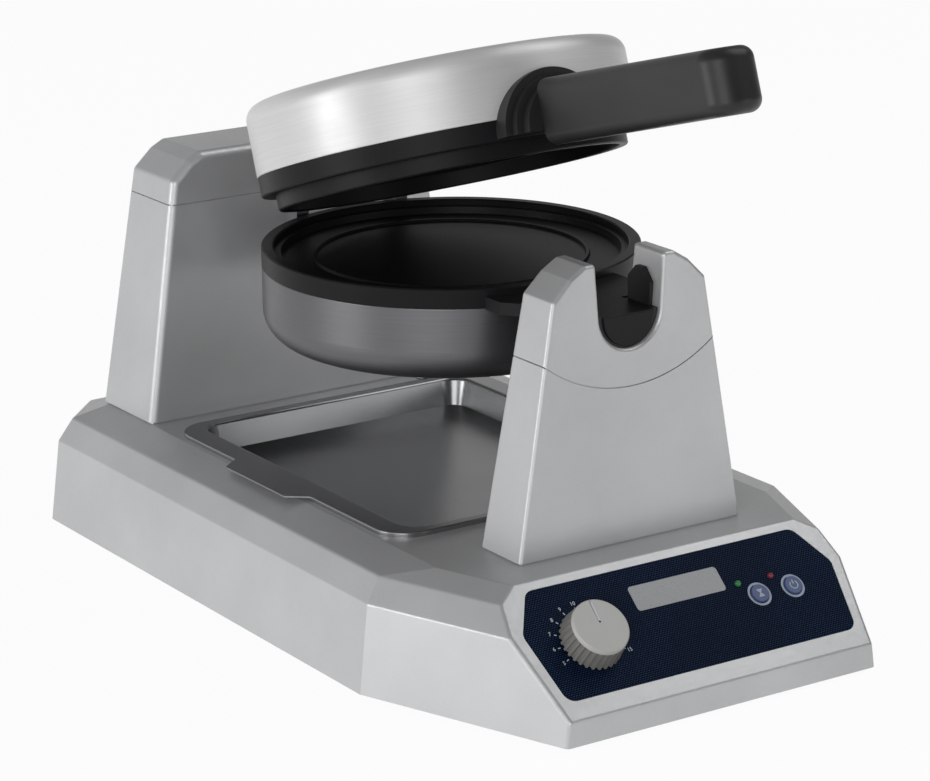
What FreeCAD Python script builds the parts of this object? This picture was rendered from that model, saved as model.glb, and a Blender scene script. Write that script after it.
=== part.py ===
"""Hot press: a heated round head between two cast pillars, over a drip tray and a sloped timer panel.

Frame: +Z up, +Y to the rear, bench at z = 0, centre of the round head at x = y = 0. Millimetres.
The lid is modelled shut and then opened about its hinge to the rest pose.
"""
import FreeCAD, Part
import math
import os

V = FreeCAD.Vector
ALONG_X, ALONG_Y, ALONG_Z = V(1, 0, 0), V(0, 1, 0), V(0, 0, 1)

# Base housing: heights are above its lower edge, reaches are from the head's centre
FOOT_DROP = 2.5
BASE_WIDTH = 254.0
BASE_HEIGHT = 59.25
FRONT_REACH = 221.4
REAR_LEDGE = 30.6
NOSE_WIDTH = 174.2
NOSE_TAPER = 107.8
TAIL_WIDTH = 196.0
TAIL_TAPER = 29.8
WALL_RISE = 42.2
WALL_DRAFT = 5.3
REAR_DRAFT = 3.4
BEVEL_RISE = 53.9
BEVEL_INSET = 13.1
REAR_BEVEL_INSET = 9.9
CROWN_INSET = 32.5
NOSE_CROWN_INSET = 25.0
REAR_CROWN_INSET = 25.0
LIP_HEIGHT = 11.85
FASCIA_RUN = 52.4
CAST_WALL = 3.5
EDGE_ROUND = 2.5

# Bottom plate, its posts and the feet
PLATE_RECESS = 1.5
PLATE_SHEET = 1.5
PLATE_GAP = 0.4
POST_INSET = 12.5
POST_RADIUS = 5.0
SIDE_POST_Y = (-75.0, 120.0)
SIDE_POST_RISE = 43.0
NOSE_POST_X = 60.0
NOSE_POST_BACK = 15.0
NOSE_POST_RISE = 22.0
FOOT_RADIUS = 11.0
FOOT_STUB_RADIUS = 4.0
FOOT_INSET = 30.0
FRONT_FOOT_Y = -100.0
REAR_FOOT_EDGE = 47.0
VENT_LENGTH = 46.0
VENT_WIDTH = 5.0
VENT_PITCH = 12.0
VENT_COUNT = 7
VENT_Y = 60.0

# Drip tray
TRAY_WIDTH = 184.0
TRAY_LENGTH = 211.4
TRAY_CENTRE_Y = 16.3
TRAY_CORNER = 18.0
TRAY_FLANGE = 7.0
TRAY_SIDE_FLANGE = 13.0
TRAY_DEPTH = 14.0
TRAY_WALL_RUN = 3.0
TRAY_SHEET = 0.8
TRAY_HEM = 2.4
TRAY_BEND = 1.8
TAB_REACH = 10.0
TAB_ROOT = 72.0
TAB_TIP = 56.0
TAB_CENTRE_Y = 21.0
WELL_CLEARANCE = 1.0

# Pillars: (half width, rise above the deck) up each side, then the lean of the front and inner faces
FRONT_FOOT_HALF = 62.8
FRONT_SHOULDER = (42.8, 119.25)
FRONT_BEVEL = (33.3, 128.65)
FRONT_CROWN = (25.0, 133.75)
FRONT_PILLAR_REACH = 149.9
FRONT_PILLAR_DEPTH = 32.6
FRONT_PILLAR_LEAN = 2.4
FRONT_INNER_LEAN = 6.4
REAR_FOOT_HALF = 94.8
REAR_SHOULDER = (76.0, 124.75)
REAR_BEVEL = (66.0, 134.5)
REAR_CROWN = (59.0, 138.25)
REAR_PILLAR_REACH = 138.4
REAR_PILLAR_DEPTH = 53.0
REAR_PILLAR_LEAN = 7.4
REAR_INNER_LEAN = 2.5
PILLAR_WALL = 4.0
PILLAR_ROUND = 2.0
REAR_PILLAR_ROUND = 4.0
PILLAR_REVEAL = 0.8
SEAM_RISE = 74.45
SEAM_RADIUS = 77.6
SEAM_CEILING = 8.0
SEAM_GAP = 0.6
SEAM_DEPTH = 0.8
REAR_SEAM_RISE = 113.05
FRONT_BOLT_X = 46.0
REAR_BOLT_X = 72.0
REAR_BOLT_EDGE = 9.5
BOLT_BOSS_RADIUS = 6.5
FRONT_CAP_SCREW_X = 30.0
REAR_CAP_SCREW_X = 66.0
LUG_HALF = 8.0
LUG_HEIGHT = 10.0

# Cradle notch in the front pillar cap
AXIS_RISE = 108.95
NOTCH_RADIUS = 17.2
NOTCH_FLARE = 1.9
NOTCH_ROUND = 2.0
LINER_RECESS = 1.5
CHEEK_RISE = 15.8
CHEEK_SETBACK = 4.4
CHEEK_CORNER = 6.0
CHEEK_SHEET = 1.5

# Lower head
PARTING_RISE = 112.05
HEAD_RADIUS = 92.5
RIM_HEIGHT = 9.4
SHELL_HEIGHT = 37.4
SHELL_CORNER = 16.0
LIP_ROUND = 0.7
SHEET = 1.2
COOK_DEPTH = 6.5
SHELF_DEPTH = 3.2
SHELF_WIDTH = 3.6
BEAD_RADIUS = 66.5
BEAD_HEIGHT = 1.3
PLATE_BODY = 14.0
SPIGOT_GAP = 0.3
HEATER_RADIUS = 58.0
HEATER_TUBE = 3.25
HEATER_SWEEP = 320.0
HEATER_BEND = 8.0
HEATER_LEG = 6.0
THERMOSTAT_RADIUS = 8.0
THERMOSTAT_HEIGHT = 10.0
POST_SPREAD = 50.0
HEAD_POST_RADIUS = 5.5
WOOL_RADIUS = 72.0
WOOL_HEIGHT = 12.0

# Half-round front rest and its stepped collar: (radius, reach from the head's centre)
REST_STEPS = ((21.0, 99.0), (18.5, 102.0), (16.5, 106.0))
REST_RADIUS = 14.1
REST_FLAT = 1.0
REST_SINK = 2.25
REST_RECESS = 1.0
REST_SCREW_X = 7.5
REST_SCREW_DROP = 15.6
WEB_HALF = 37.0
WEB_SHOULDER = 97.0
WEB_TIP_HALF = 18.0
WEB_REACH = 121.0
WEB_HEIGHT = 6.0

# Rear support tube
TUBE_RISE = 85.75
TUBE_RADIUS = 10.0
TUBE_BORE = 7.0
TUBE_REACH = 158.0
TUBE_NUT_RADIUS = 12.0
TUBE_NUT_HEIGHT = 6.0
TUBE_END = 2.0

# Lid
LID_OPEN = 19.18
LID_RADIUS = 93.3
LID_SHEET = 1.0
LID_RIM_RADIUS = 92.9
LID_RIM_HEIGHT = 9.8
LID_HEIGHT = 44.7
LID_CORNER = 8.0
RING_RADIUS = 86.0
RING_WIDTH = 4.2
RING_DROP = 7.6
RING_ENTRY = 1.65
LID_PLATE_BODY = 13.0
LID_WOOL_HEIGHT = 13.0
LID_BOSS_HALF = 20.0
LID_BOSS_DEPTH = 14.0

# Hinge
HINGE_BACK = 97.5
HINGE_RISE = 23.6
PIN_RADIUS = 3.0
KNUCKLE_RADIUS = 6.5
EAR_INNER = 26.0
EAR_WIDTH = 7.0
KNUCKLE_WIDTH = 7.6
PIN_HEAD_RADIUS = 4.8
PIN_HEAD = 1.6
CLIP_THICKNESS = 1.0
SADDLE_LIFT = 8.6
SADDLE_HEIGHT = 11.0
SADDLE_BACK = 5.0
BRACKET_HALF = 42.0
BRACKET_HEIGHT = 32.0
BRACKET_DROP = 11.3
HINGE_SCREW_X = 28.0
HINGE_SCREW_DROP = 10.0
LID_SCREW_X = 13.0

# Handle, measured from the ring's lower edge: heights of its underside and top at root and tip
HANDLE_ROOT = 106.0
HANDLE_TIP = 241.6
HANDLE_HALF = 14.0
HANDLE_ROOT_LOW = 0.8
HANDLE_ROOT_HIGH = 31.9
HANDLE_TIP_LOW = -7.8
HANDLE_TIP_HIGH = 21.6
HANDLE_ROUND = 6.0
HANDLE_TIP_ROUND = 13.0
COLLAR_STEPS = ((29.0, 97.0), (25.5, 101.0), (22.0, 106.0))
COLLAR_RISE = 1.0
HANDLE_BOLT_X = 7.5
HANDLE_BOLT_RISE = 26.0
HANDLE_BOLT_DEPTH = 26.0

# Timer panel: x across and u up the slope from the front lip
PANEL_LOW = 9.5
PANEL_WAIST = 45.5
PANEL_HIGH = 66.4
PANEL_LOW_HALF = 81.5
PANEL_WAIST_HALF = 87.5
PANEL_HIGH_HALF = 75.5
PANEL_CORNER = 6.0
PANEL_RECESS = 0.8
PANEL_SHEET = 0.5
KNOB_X = -56.0
KNOB_U = 36.0
KNOB_RADIUS = 15.4
KNOB_TOP_RADIUS = 13.6
KNOB_HEIGHT = 12.6
KNOB_LIFT = 0.6
KNOB_CAP = 2.2
KNOB_FLUTES = 30
KNOB_FLUTE_RADIUS = 1.0
KNOB_HOLLOW = 11.0
KNOB_HOLLOW_HEIGHT = 4.0
POINTER_WIDTH = 0.9
SHAFT_RADIUS = 3.0
SHAFT_TOP = 10.5
SHAFT_ROOT = 4.0
BUSHING_RADIUS = 3.6
BUSHING_TOP = 2.6
POT_RADIUS = 8.5
POT_NUT_FLATS = 10.0
POT_NUT_HEIGHT = 2.0
BOARD_DEPTH = 12.4
BOARD_SHEET = 1.6
BOARD_HALF = 76.0
BOARD_LOW = 17.0
BOARD_HIGH = 59.0
BOARD_SCREW_X = 70.0
BOARD_SCREW_EDGE = 5.0
BOARD_POST_RADIUS = 3.5
BUTTON_RADIUS = 4.6
BUTTON_PROUD = 0.9
BUTTON_TRAVEL = 0.8
BUTTON_SHOULDER = 1.1
BUTTON_STEM = 1.6
BUTTON_STEM_DROP = 2.2
SWITCH_SIDE = 11.0
START_X = 41.0
STANDBY_X = 60.5
BUTTON_U = 38.0
READY_LED_X = 32.4
POWER_LED_X = 51.4
LED_U = 45.5
LED_RADIUS = 1.5

# Mains parts inside the base and the cord gland at the rear
POWER_BOARD = (90.0, 70.0, 1.6)
POWER_BOARD_Y = -20.0
POWER_BOARD_LIFT = 5.0
RELAY = (20.0, 28.0, 16.0)
TRANSFORMER = (36.0, 32.0, 24.0)
TERMINALS = (62.0, 12.0, 14.0)
GLAND_RISE = 26.0
GLAND_X = 60.0
GLAND_BODY = 8.0
GLAND_BORE = 4.5
GLAND_FLATS = 22.0
GLAND_HEX = 5.0
GLAND_DOME = 6.0
GLAND_PAD = 14.0

# Fasteners: shank radius, head radius, head height
M6 = (3.0, 5.0, 4.0)
M5 = (2.5, 4.4, 3.2)
M4 = (2.0, 3.8, 2.4)
M3 = (1.5, 2.8, 2.0)
DECK_BOLT_GRIP = 22.0
FRONT_CAP_SCREW_LENGTH = 23.0
REAR_CAP_GRIP = 8.0
PLATE_SCREW_GRIP = 12.0
SHELL_SCREW_LENGTH = 13.0
BOARD_SCREW_GRIP = 6.0
BLIND_END = 2.0

# Clearances
SCREW_CLEARANCE = 0.25
THREAD_CLEARANCE = 0.05
RUNNING_CLEARANCE = 0.05
SEAT_CLEARANCE = 0.05
SIDE_CLEARANCE = 0.4
BUTTON_CLEARANCE = 0.15

# Places worked out from the sizes above
FRONT_Y = -FRONT_REACH
REAR_REACH = REAR_PILLAR_REACH + REAR_PILLAR_DEPTH + REAR_LEDGE
REAR_FOOT_Y = REAR_REACH - REAR_FOOT_EDGE
DECK = FOOT_DROP + BASE_HEIGHT
AXIS = DECK + AXIS_RISE
PARTING = DECK + PARTING_RISE
SHELL_TOP = PARTING - RIM_HEIGHT
SHELL_FLOOR = SHELL_TOP - SHELL_HEIGHT
SHELL_INNER = HEAD_RADIUS - SHEET
TUBE = DECK + TUBE_RISE
RING = PARTING - RING_ENTRY
LID_RIM = RING + RING_DROP
LID_SKIRT = LID_RIM + LID_RIM_HEIGHT
LID_TOP = LID_RIM + LID_HEIGHT
LID_INNER = LID_RADIUS - LID_SHEET
LID_BACKING = LID_RIM + LID_PLATE_BODY
HINGE = PARTING + HINGE_RISE
PLATE_TOP = FOOT_DROP + PLATE_RECESS + PLATE_SHEET
FASCIA_RISE = BASE_HEIGHT - LIP_HEIGHT
FASCIA_ANGLE = math.degrees(math.atan2(FASCIA_RISE, FASCIA_RUN))
SHELF_RADIUS = RING_RADIUS + 0.6


def loop(points):
    corners = [V(*point) for point in points]
    return Part.makePolygon(corners + corners[:1])


def prism_xz(points, y0, y1):
    face = Part.Face(loop([(x, y0, z) for x, z in points]))
    return face.extrude(V(0, y1 - y0, 0))


def prism_yz(points, x0, x1):
    face = Part.Face(loop([(x0, y, z) for y, z in points]))
    return face.extrude(V(x1 - x0, 0, 0))


def prism_xy(points, z0, z1):
    face = Part.Face(loop([(x, y, z0) for x, y in points]))
    return face.extrude(V(0, 0, z1 - z0))


def turned(points):
    face = Part.Face(loop([(r, 0, z) for r, z in points]))
    return face.revolve(V(0, 0, 0), ALONG_Z, 360)


def rod(x, y, z, axis, radius, length):
    return Part.makeCylinder(radius, length, V(x, y, z), axis)


def block(x0, x1, y0, y1, z0, z1):
    return Part.makeBox(x1 - x0, y1 - y0, z1 - z0, V(x0, y0, z0))


def hexagon(x, y, z, flats, height, axis=ALONG_Z):
    radius = flats / math.sqrt(3)
    turns = [math.radians(60 * step) for step in range(6)]
    face = Part.Face(loop([(radius * math.cos(t), radius * math.sin(t), 0) for t in turns]))
    nut = face.extrude(V(0, 0, height))
    nut.Placement = FreeCAD.Placement(V(x, y, z), FreeCAD.Rotation(ALONG_Z, axis))
    return nut


def join(shapes):
    return shapes[0].multiFuse(shapes[1:]).removeSplitter()


def is_along(edge, axis):
    if not isinstance(edge.Curve, Part.Line):
        return False
    return abs(abs(edge.Curve.Direction.dot(axis)) - 1) < 1e-6


def soften(shape, radius, chosen):
    return shape.makeFillet(radius, [edge for edge in shape.Edges if chosen(edge)])


def screw(x, y, z, axis, size, length):
    """A pan-head screw: its head's seat is at the point, its shank runs along the axis."""
    shank, head, height = size
    shaft = rod(x, y, z, axis, shank, length)
    start = V(x, y, z) - axis * height
    cap = Part.makeCylinder(head, height, start, axis)
    rim = [edge for edge in cap.Edges if edge.CenterOfMass.distanceToPoint(start) < height / 4]
    return cap.makeChamfer(height / 3, rim).fuse(shaft).removeSplitter()


def rounded_loop(width, length, radius, y, z):
    half_x, half_y = width / 2 - radius, length / 2 - radius
    edges = []
    spots = ((half_x, half_y, 0), (-half_x, half_y, 90), (-half_x, -half_y, 180), (half_x, -half_y, 270))
    ends = []
    for cx, cy, start in spots:
        turns = [math.radians(start + step) for step in (0, 45, 90)]
        points = [V(cx + radius * math.cos(t), y + cy + radius * math.sin(t), z) for t in turns]
        edges.append(Part.Arc(*points).toShape())
        ends.append((points[0], points[2]))
    for index in range(4):
        edges.append(Part.makeLine(ends[index - 1][1], ends[index][0]))
    return Part.Wire(Part.__sortEdges__(edges))


def rounded_slab(width, length, radius, y, z0, z1):
    return Part.Face(rounded_loop(width, length, radius, y, z0)).extrude(V(0, 0, z1 - z0))


def inset_corners(corners, insets):
    """Moves each side of a convex outline inwards by its own distance."""
    lines = []
    for index, (x0, y0) in enumerate(corners):
        x1, y1 = corners[(index + 1) % len(corners)]
        length = math.hypot(x1 - x0, y1 - y0)
        dx, dy = (x1 - x0) / length, (y1 - y0) / length
        lines.append((x0 - dy * insets[index], y0 + dx * insets[index], dx, dy))
    moved = []
    for index, (bx, by, bdx, bdy) in enumerate(lines):
        ax, ay, adx, ady = lines[index - 1]
        t = ((bx - ax) * bdy - (by - ay) * bdx) / (adx * bdy - ady * bdx)
        moved.append((ax + adx * t, ay + ady * t))
    return moved


def base_outline(side, nose, rear, front):
    half, nose_half, tail_half = BASE_WIDTH / 2, NOSE_WIDTH / 2, TAIL_WIDTH / 2
    nose_y, tail_y = FRONT_Y + NOSE_TAPER, REAR_REACH - TAIL_TAPER
    right = [(nose_half, FRONT_Y), (half, nose_y), (half, tail_y), (tail_half, REAR_REACH)]
    corners = right + [(-x, y) for x, y in reversed(right)]
    tail = (side + rear) / 2
    return inset_corners(corners, [nose, side, tail, rear, tail, side, nose, front])


def fascia_wedge(sink):
    """What is cut away in front of the sloped panel, moved inwards by the wall."""
    slope = math.radians(FASCIA_ANGLE)
    y = FRONT_Y + sink * math.sin(slope)
    z = FOOT_DROP + LIP_HEIGHT - sink * math.cos(slope)
    top_y, top_z = y + 2 * FASCIA_RUN, z + 2 * FASCIA_RISE
    points = [(y, z), (top_y, top_z), (y - FASCIA_RUN, top_z), (y - FASCIA_RUN, z)]
    return prism_yz(points, -BASE_WIDTH, BASE_WIDTH)


def base_solid(shrink):
    """The drafted and bevelled body of the base, smaller all round by the wall."""
    levels = (
        (-shrink, 0, 0, 0),
        (WALL_RISE, WALL_DRAFT, WALL_DRAFT, REAR_DRAFT),
        (BEVEL_RISE - shrink, BEVEL_INSET, BEVEL_INSET, REAR_BEVEL_INSET),
        (BASE_HEIGHT - shrink, CROWN_INSET, NOSE_CROWN_INSET, REAR_CROWN_INSET),
    )
    loops = []
    for rise, side, nose, rear in levels:
        outline = base_outline(side + shrink, nose + shrink, rear + shrink, shrink)
        loops.append(loop([(x, y, FOOT_DROP + rise) for x, y in outline]))
    return Part.makeLoft(loops, True, True).cut(fascia_wedge(shrink)).removeSplitter()


def on_fascia(shape):
    """Sets a shape made flat, x across, y up the slope, z outwards, on the sloped panel."""
    slope = FreeCAD.Placement(
        V(0, FRONT_Y, FOOT_DROP + LIP_HEIGHT), FreeCAD.Rotation(ALONG_X, FASCIA_ANGLE)
    )
    shape.Placement = slope.multiply(shape.Placement)
    return shape


def panel_sheet(z0, z1):
    right = [(PANEL_LOW_HALF, PANEL_LOW), (PANEL_WAIST_HALF, PANEL_WAIST), (PANEL_HIGH_HALF, PANEL_HIGH)]
    corners = right + [(-x, y) for x, y in reversed(right)]
    return soften(prism_xy(corners, z0, z1), PANEL_CORNER, lambda edge: is_along(edge, ALONG_Z))


def panel_holes(z0, z1):
    height = z1 - z0
    holes = [rod(KNOB_X, KNOB_U, z0, ALONG_Z, BUSHING_RADIUS + SEAT_CLEARANCE, height)]
    for x in (START_X, STANDBY_X):
        holes.append(rod(x, BUTTON_U, z0, ALONG_Z, BUTTON_RADIUS + BUTTON_CLEARANCE, height))
    for x in (READY_LED_X, POWER_LED_X):
        holes.append(rod(x, LED_U, z0, ALONG_Z, LED_RADIUS + SEAT_CLEARANCE, height))
    return Part.Compound(holes)


def board_screw_places():
    heights = (BOARD_LOW + BOARD_SCREW_EDGE, BOARD_HIGH - BOARD_SCREW_EDGE)
    return [(x, u) for x in (-BOARD_SCREW_X, BOARD_SCREW_X) for u in heights]


def post_places():
    side_x = BASE_WIDTH / 2 - POST_INSET
    places = [(sign * side_x, y, SIDE_POST_RISE) for sign in (-1, 1) for y in SIDE_POST_Y]
    nose_y = FRONT_Y + NOSE_POST_BACK
    return places + [(sign * NOSE_POST_X, nose_y, NOSE_POST_RISE) for sign in (-1, 1)]


def pillar_bolt_places():
    front_y = -FRONT_PILLAR_REACH + FRONT_PILLAR_DEPTH / 2
    inner_y = REAR_PILLAR_REACH + REAR_BOLT_EDGE
    outer_y = REAR_PILLAR_REACH + REAR_PILLAR_DEPTH - REAR_BOLT_EDGE
    front = [(sign * FRONT_BOLT_X, front_y) for sign in (-1, 1)]
    rear = [(sign * REAR_BOLT_X, y) for sign in (-1, 1) for y in (inner_y, outer_y)]
    return front, rear


def tray_well(grow, top, floor):
    """The tray's sloping bowl, grown all round, between two heights."""
    width = TRAY_WIDTH - 2 * TRAY_SIDE_FLANGE + 2 * grow
    length = TRAY_LENGTH - 2 * TRAY_FLANGE + 2 * grow
    corner = TRAY_CORNER - TRAY_FLANGE + grow
    run = 2 * TRAY_WALL_RUN
    upper = rounded_loop(width, length, corner, TRAY_CENTRE_Y, top)
    lower = rounded_loop(width - run, length - run, corner - TRAY_WALL_RUN, TRAY_CENTRE_Y, floor)
    return Part.makeLoft([upper, lower], True, True)


def gland_y():
    return REAR_REACH - REAR_DRAFT * GLAND_RISE / WALL_RISE + 1.0


def base_housing():
    outer = soften(base_solid(0), EDGE_ROUND, lambda edge: edge.BoundBox.ZMax > FOOT_DROP + 1)
    tray_floor = DECK + TRAY_HEM - TRAY_DEPTH - TRAY_SHEET - WELL_CLEARANCE
    pocket_width = TRAY_WIDTH - 2 * TRAY_SIDE_FLANGE + 2 * (TRAY_SHEET + WELL_CLEARANCE)
    pocket_length = TRAY_LENGTH - 2 * TRAY_FLANGE + 2 * (TRAY_SHEET + WELL_CLEARANCE)
    corner = TRAY_CORNER - TRAY_FLANGE + TRAY_SHEET + WELL_CLEARANCE
    pocket = rounded_slab(pocket_width, pocket_length, corner, TRAY_CENTRE_Y, tray_floor, DECK + 1)
    liner = rounded_slab(
        pocket_width + 2 * CAST_WALL, pocket_length + 2 * CAST_WALL, corner + CAST_WALL,
        TRAY_CENTRE_Y, tray_floor - CAST_WALL, DECK,
    )
    keep = [liner]
    drill = [pocket, on_fascia(panel_sheet(-PANEL_RECESS, PANEL_RECESS))]
    for x, y, rise in post_places():
        keep.append(rod(x, y, PLATE_TOP, ALONG_Z, POST_RADIUS, FOOT_DROP + rise - PLATE_TOP))
        drill.append(
            rod(x, y, 0, ALONG_Z, M4[0] + THREAD_CLEARANCE, PLATE_TOP + PLATE_SCREW_GRIP + BLIND_END)
        )
    for x, u in board_screw_places():
        keep.append(on_fascia(rod(x, u, -BOARD_DEPTH, ALONG_Z, BOARD_POST_RADIUS, BOARD_DEPTH - 1)))
        grip = BOARD_SCREW_GRIP + BLIND_END / 2
        drill.append(on_fascia(rod(x, u, -BOARD_DEPTH, ALONG_Z, M3[0] + THREAD_CLEARANCE, grip)))
    keep.append(rod(GLAND_X, gland_y() - 9, FOOT_DROP + GLAND_RISE, ALONG_Y, GLAND_PAD, 9))
    for x, y in sum(pillar_bolt_places(), []):
        drill.append(rod(x, y, DECK - 2 * CAST_WALL, ALONG_Z, M6[0] + SCREW_CLEARANCE, 3 * CAST_WALL))
    drill.append(on_fascia(panel_holes(-2 * CAST_WALL, CAST_WALL)))
    drill.append(
        rod(GLAND_X, gland_y() - 30, FOOT_DROP + GLAND_RISE, ALONG_Y, GLAND_BODY + SEAT_CLEARANCE, 40)
    )
    shell = outer.cut(base_solid(CAST_WALL).cut(Part.Compound(keep)))
    pad = rod(GLAND_X, gland_y() - 9, FOOT_DROP + GLAND_RISE, ALONG_Y, GLAND_PAD, 9)
    return shell.fuse(pad).cut(Part.Compound(drill)).removeSplitter()


def bottom_plate():
    low = FOOT_DROP + PLATE_RECESS
    edge = CAST_WALL + PLATE_GAP
    climb = (PLATE_TOP - FOOT_DROP + CAST_WALL) / (WALL_RISE + CAST_WALL)
    side, rear = edge + climb * WALL_DRAFT, edge + climb * REAR_DRAFT
    plate = prism_xy(base_outline(side, side, rear, edge), low, PLATE_TOP)
    holes = [rod(x, y, low, ALONG_Z, M4[0] + SCREW_CLEARANCE, PLATE_SHEET) for x, y, _ in post_places()]
    for x, y in foot_places().values():
        holes.append(rod(x, y, low, ALONG_Z, FOOT_STUB_RADIUS + SEAT_CLEARANCE, PLATE_SHEET))
    for step in range(VENT_COUNT):
        y = VENT_Y + (step - (VENT_COUNT - 1) / 2) * VENT_PITCH
        half = VENT_LENGTH / 2
        slot = block(-half, half, y - VENT_WIDTH / 2, y + VENT_WIDTH / 2, low, PLATE_TOP)
        holes.append(soften(slot, VENT_WIDTH / 2 - 0.1, lambda edge: is_along(edge, ALONG_Z)))
    return plate.cut(Part.Compound(holes))


def foot_places():
    x = BASE_WIDTH / 2 - FOOT_INSET
    return {
        "front_left_foot": (-x, FRONT_FOOT_Y),
        "front_right_foot": (x, FRONT_FOOT_Y),
        "rear_left_foot": (-x, REAR_FOOT_Y),
        "rear_right_foot": (x, REAR_FOOT_Y),
    }


def foot(x, y):
    seat = FOOT_DROP + PLATE_RECESS
    profile = [
        (0, 0), (FOOT_RADIUS - 2, 0), (FOOT_RADIUS - 1, 0.8), (FOOT_RADIUS, seat),
        (FOOT_STUB_RADIUS, seat), (FOOT_STUB_RADIUS, PLATE_TOP + 1), (0, PLATE_TOP + 1),
    ]
    shape = turned(profile)
    shape.translate(V(x, y, 0))
    return shape


def is_tray_bend(edge):
    """Whether an edge runs round the top of the tray's bowl."""
    box = edge.BoundBox
    half_x = TRAY_WIDTH / 2 - TRAY_SIDE_FLANGE + 1
    half_y = TRAY_LENGTH / 2 - TRAY_FLANGE + 1
    inside = max(-box.XMin, box.XMax) < half_x and box.YMax < TRAY_CENTRE_Y + half_y
    return inside and box.YMin > TRAY_CENTRE_Y - half_y and box.ZMin > DECK + TRAY_HEM - 0.01


def drip_tray():
    top = DECK + TRAY_HEM
    flange = rounded_slab(TRAY_WIDTH, TRAY_LENGTH, TRAY_CORNER, TRAY_CENTRE_Y, DECK, top)
    flange = soften(flange, TRAY_HEM / 3, lambda edge: edge.BoundBox.ZMin > top - 1e-6)
    thin = 2 * TRAY_SHEET
    under = rounded_slab(
        TRAY_WIDTH - thin, TRAY_LENGTH - thin, TRAY_CORNER - TRAY_SHEET, TRAY_CENTRE_Y,
        DECK, top - TRAY_SHEET,
    )
    root, tip = TAB_ROOT / 2, TAB_TIP / 2
    edge_x = -TRAY_WIDTH / 2
    tab = prism_xy(
        [
            (edge_x + TRAY_FLANGE, TAB_CENTRE_Y - root), (edge_x, TAB_CENTRE_Y - root),
            (edge_x - TAB_REACH, TAB_CENTRE_Y - tip), (edge_x - TAB_REACH, TAB_CENTRE_Y + tip),
            (edge_x, TAB_CENTRE_Y + root), (edge_x + TRAY_FLANGE, TAB_CENTRE_Y + root),
        ],
        top - TRAY_SHEET, top,
    )
    floor = top - TRAY_DEPTH
    bowl = tray_well(TRAY_SHEET, top, floor - TRAY_SHEET)
    hollow = tray_well(0, top, floor)
    tray = join([flange.cut(under), tab, bowl]).cut(hollow).removeSplitter()
    return soften(tray, TRAY_BEND, is_tray_bend)


def pillar_solid(halves, near_y, far_y, near_lean, far_lean, shrink=0.0):
    """A tapered pillar on the deck: a front view and a side view that cut each other."""
    crown = halves[-1][1]
    top = crown - shrink
    right = [(half - shrink, DECK + rise - shrink) for half, rise in halves]
    front_view = prism_xz(right + [(-x, z) for x, z in reversed(right)], near_y - 20, far_y + 20)
    side = [
        (near_y + shrink, DECK - shrink), (far_y - shrink, DECK - shrink),
        (far_y - shrink + far_lean * top / crown, DECK + top),
        (near_y + shrink + near_lean * top / crown, DECK + top),
    ]
    wide = halves[0][0] + 1
    return front_view.common(prism_yz(side, -wide, wide))


def foot_reveal(halves, faces):
    """The strip set back round a pillar's foot, which draws a shadow line on the deck."""
    strip = block(-BASE_WIDTH, BASE_WIDTH, -REAR_REACH, REAR_REACH, DECK, DECK + PILLAR_REVEAL)
    return strip.cut(pillar_solid(halves, *faces, shrink=PILLAR_REVEAL))


FRONT_HALVES = ((FRONT_FOOT_HALF, 0), FRONT_SHOULDER, FRONT_BEVEL, FRONT_CROWN)
REAR_HALVES = ((REAR_FOOT_HALF, 0), REAR_SHOULDER, REAR_BEVEL, REAR_CROWN)
FRONT_FACES = (
    -FRONT_PILLAR_REACH, -FRONT_PILLAR_REACH + FRONT_PILLAR_DEPTH, FRONT_PILLAR_LEAN, -FRONT_INNER_LEAN,
)
REAR_FACES = (
    REAR_PILLAR_REACH, REAR_PILLAR_REACH + REAR_PILLAR_DEPTH, REAR_INNER_LEAN, -REAR_PILLAR_LEAN,
)


def whole_front_pillar():
    solid = pillar_solid(FRONT_HALVES, *FRONT_FACES)
    return soften(solid, PILLAR_ROUND, lambda edge: edge.BoundBox.ZMax > DECK + 1)


def seam_drum(grow=0.0):
    length = 2 * FRONT_PILLAR_REACH
    return rod(0, -length, DECK + SEAM_RISE + SEAM_RADIUS, ALONG_Y, SEAM_RADIUS + grow, length)


def seam_groove(band, halves, faces):
    """The shallow joint line that runs round a pillar under its cap."""
    return band.cut(pillar_solid(halves, *faces, shrink=SEAM_DEPTH))


def notch():
    top = DECK + FRONT_CROWN[1] + 1
    wide = NOTCH_RADIUS + NOTCH_FLARE
    sides = [(-NOTCH_RADIUS, AXIS), (NOTCH_RADIUS, AXIS), (wide, top), (-wide, top)]
    throat = prism_xz(sides, -FRONT_PILLAR_REACH - 5, -FRONT_PILLAR_REACH + FRONT_PILLAR_DEPTH + 5)
    drum = rod(0, -FRONT_PILLAR_REACH - 5, AXIS, ALONG_Y, NOTCH_RADIUS, FRONT_PILLAR_DEPTH + 10)
    return throat.fuse(drum).removeSplitter()


def is_notch_edge(edge):
    """Whether an edge runs round the notch on the front or inner face of the cap."""
    box, middle = edge.BoundBox, edge.CenterOfMass
    inside = abs(middle.x) < NOTCH_RADIUS + NOTCH_FLARE and middle.z > AXIS - NOTCH_RADIUS
    return inside and box.YLength < box.ZLength / 4 and box.ZLength > NOTCH_RADIUS / 2


def front_cap_screw_seat():
    return DECK + SEAM_RISE - SEAM_CEILING


def deck_bolt_holes(places):
    depth = DECK_BOLT_GRIP + BLIND_END
    return [rod(x, y, DECK, ALONG_Z, M6[0] + THREAD_CLEARANCE, depth) for x, y in places]


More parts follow.
